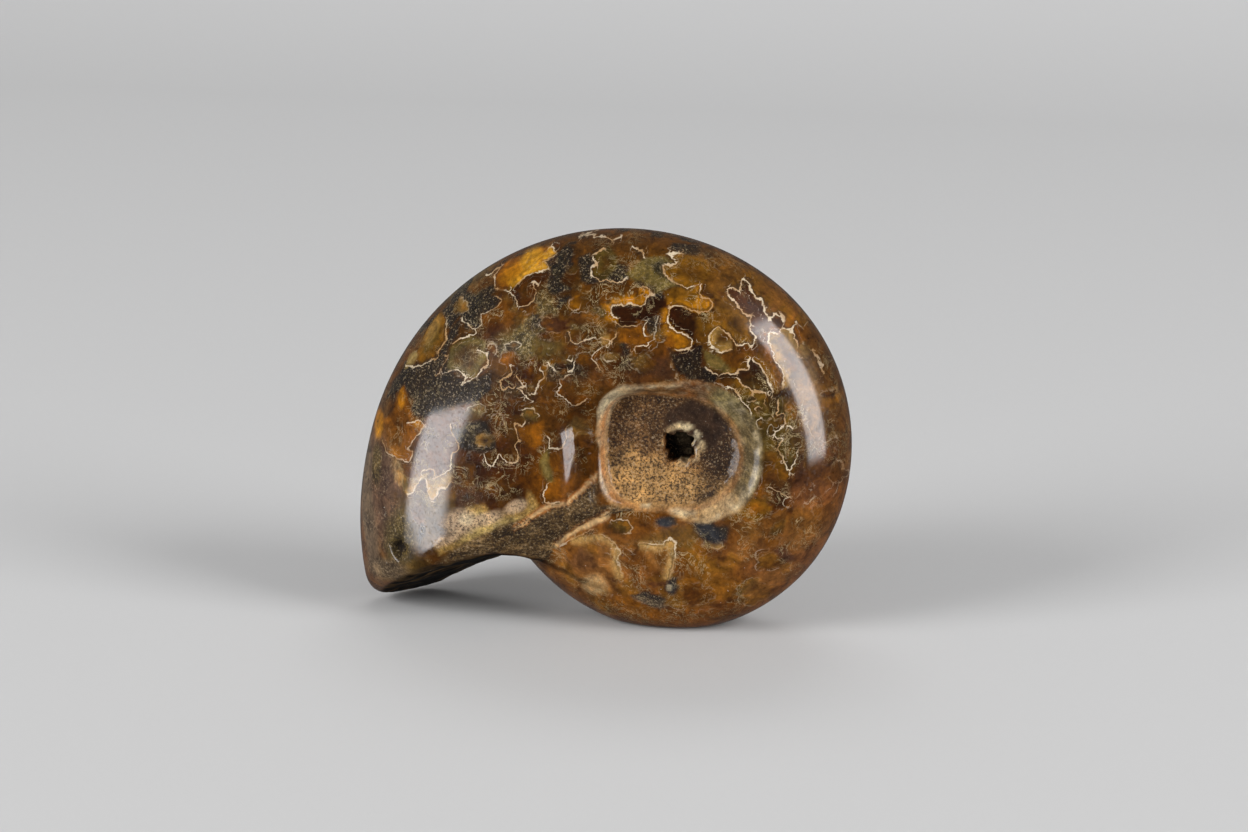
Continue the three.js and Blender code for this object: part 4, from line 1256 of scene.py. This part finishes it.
def fossil_stone():
    """Cloudy calcite and matrix under a polish, crossed by the cream edges of the old chamber walls."""
    made = bpy.data.materials.new("fossil_stone")
    made.use_nodes = True
    tree = made.node_tree
    surface = tree.nodes["Principled BSDF"]
    where = add(tree, "ShaderNodeTexCoord").outputs["Object"]
    paint, lines, finish = [stored(tree, name) for name in ("paint", "lines", "finish")]
    edge, line, net = add(tree, "ShaderNodeSeparateXYZ", Vector=lines.outputs["Vector"]).outputs
    grain, polish, _ = add(tree, "ShaderNodeSeparateXYZ", Vector=finish.outputs["Vector"]).outputs

    # Clouds and specks inside the calcite.
    colour = paint.outputs["Color"]
    cloud = grain_of(tree, where, 1.6, detail=6, roughness=0.62, distortion=0.8)
    depths = [(0.30, (0.30, 0.26, 0.24)), (0.48, (0.9, 0.86, 0.8)), (0.62, (1.5, 1.4, 1.2)),
              (0.75, (2.3, 2.1, 1.7))]
    colour = mixed(tree, 0.85, colour, ramp(tree, cloud, depths), "MULTIPLY")
    fine = grain_of(tree, where, 0.35, detail=4, roughness=0.6)
    specks = [(0.3, (0.55, 0.52, 0.5)), (0.5, (1, 1, 1)), (0.7, (1.6, 1.55, 1.45))]
    colour = mixed(tree, 0.6, colour, ramp(tree, fine, specks), "MULTIPLY")
    # Lacy walls, where the mask asks for them.
    lace = grain_of(tree, where, 1.5, detail=5, roughness=0.7, distortion=1.4)
    ridge = sum_of(tree, "ABSOLUTE", sum_of(tree, "SUBTRACT", lace, 0.5))
    threads = remap(tree, ridge, 0.02, 0.004)
    patchy = remap(tree, grain_of(tree, where, 3.0, detail=2), 0.46, 0.62)
    threads = sum_of(tree, "MULTIPLY", sum_of(tree, "MULTIPLY", threads, patchy), net)
    colour = mixed(tree, threads, colour, (0.55, 0.43, 0.22))
    # The drawn walls: a cream line with a thin dark lip inside it.
    frill = sum_of(tree, "SUBTRACT", grain_of(tree, where, 0.5, detail=3, roughness=0.6), 0.5)
    off = sum_of(tree, "MULTIPLY_ADD", frill, 0.6, edge)
    width = remap(tree, grain_of(tree, where, 0.8, detail=2), 0.35, 0.7, 0.05, 0.115)
    wall = remap(tree, sum_of(tree, "ABSOLUTE", off), width, 0.03)
    breaks = remap(tree, grain_of(tree, where, 1.1, detail=2), 0.32, 0.44, 0.45, 1.0)
    wall = sum_of(tree, "MULTIPLY", sum_of(tree, "MULTIPLY", wall, line), breaks, clamp=True)
    inner = sum_of(tree, "ABSOLUTE", sum_of(tree, "ADD", off, 0.16))
    lip = sum_of(tree, "MULTIPLY", remap(tree, inner, 0.12, 0.04), line, clamp=True)
    colour = mixed(tree, sum_of(tree, "MULTIPLY", lip, 0.55), colour, (0.035, 0.018, 0.008))
    shell = mixed(tree, remap(tree, grain_of(tree, where, 2.6, detail=2), 0.42, 0.60), (0.66, 0.54, 0.38),
                  (0.42, 0.25, 0.11))
    colour = mixed(tree, wall, colour, shell)
    # Sand grains.
    sand = grain_of(tree, where, 0.24, detail=4, roughness=0.75)
    dark_grain = sum_of(tree, "MULTIPLY", remap(tree, sand, 0.50, 0.44), grain, clamp=True)
    pale_grain = sum_of(tree, "MULTIPLY", remap(tree, sand, 0.56, 0.62), grain, clamp=True)
    colour = mixed(tree, sum_of(tree, "MULTIPLY", dark_grain, 0.85), colour, (0.025, 0.02, 0.019))
    colour = mixed(tree, sum_of(tree, "MULTIPLY", pale_grain, 0.55), colour, (0.50, 0.38, 0.24))
    dust = remap(tree, grain_of(tree, where, 0.3, detail=1), 0.79, 0.82)
    colour = mixed(tree, sum_of(tree, "MULTIPLY", dust, 0.5), colour, (0.6, 0.55, 0.45))
    tree.links.new(colour, surface.inputs["Base Color"])

    dull = remap(tree, polish, 0.0, 1.0, 0.75, 0.32)
    dull = sum_of(tree, "MULTIPLY_ADD", sum_of(tree, "SUBTRACT", fine, 0.5), 0.3, dull)
    tree.links.new(dull, surface.inputs["Roughness"])
    tree.links.new(polish, surface.inputs["Coat Weight"])
    surface.inputs["Coat Roughness"].default_value = 0.075
    surface.inputs["Coat IOR"].default_value = 1.4
    surface.inputs["Specular IOR Level"].default_value = 0.05
    height = sum_of(tree, "MULTIPLY", sand, grain)
    bump = add(tree, "ShaderNodeBump", Height=height, Strength=0.6, Distance=0.12 * MM)
    tree.links.new(bump.outputs["Normal"], surface.inputs["Normal"])
    pits = remap(tree, grain_of(tree, where, 0.12, detail=1), 0.60, 0.72, 1.0, 0.0)
    polished = add(tree, "ShaderNodeBump", Height=pits, Strength=0.35, Distance=0.02 * MM)
    leaning = vector_sum(tree, "ADD", polished.outputs["Normal"], (0, 0, POLISH_LEAN))
    tree.links.new(vector_sum(tree, "NORMALIZE", leaning), surface.inputs["Coat Normal"])
    return made


def ammonite():
    stone = rough_stone()
    p, _ = settle(points_of(stone))
    p, normal = settle(p)
    place_points(stone, p)
    skin = pattern(p, normal)
    place_points(stone, p + normal * skin.rise[:, None])
    ones = np.ones(len(p))
    store(stone, "paint", "FLOAT_COLOR", np.column_stack([skin.paint, ones]))
    store(stone, "lines", "FLOAT_VECTOR", np.column_stack([skin.edge, skin.line, skin.net]))
    store(stone, "finish", "FLOAT_VECTOR", np.column_stack([skin.grain, skin.polish, ones]))
    bake_map(stone, p)
    make_current(stone)
    bpy.ops.object.shade_smooth()
    stone.name = "polished_ammonite"
    stone.data.materials.clear()
    stone.data.materials.append(fossil_stone())
    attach(stone, "root")
    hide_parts(NODE)
    return stone


camera()
studio()
ammonite()
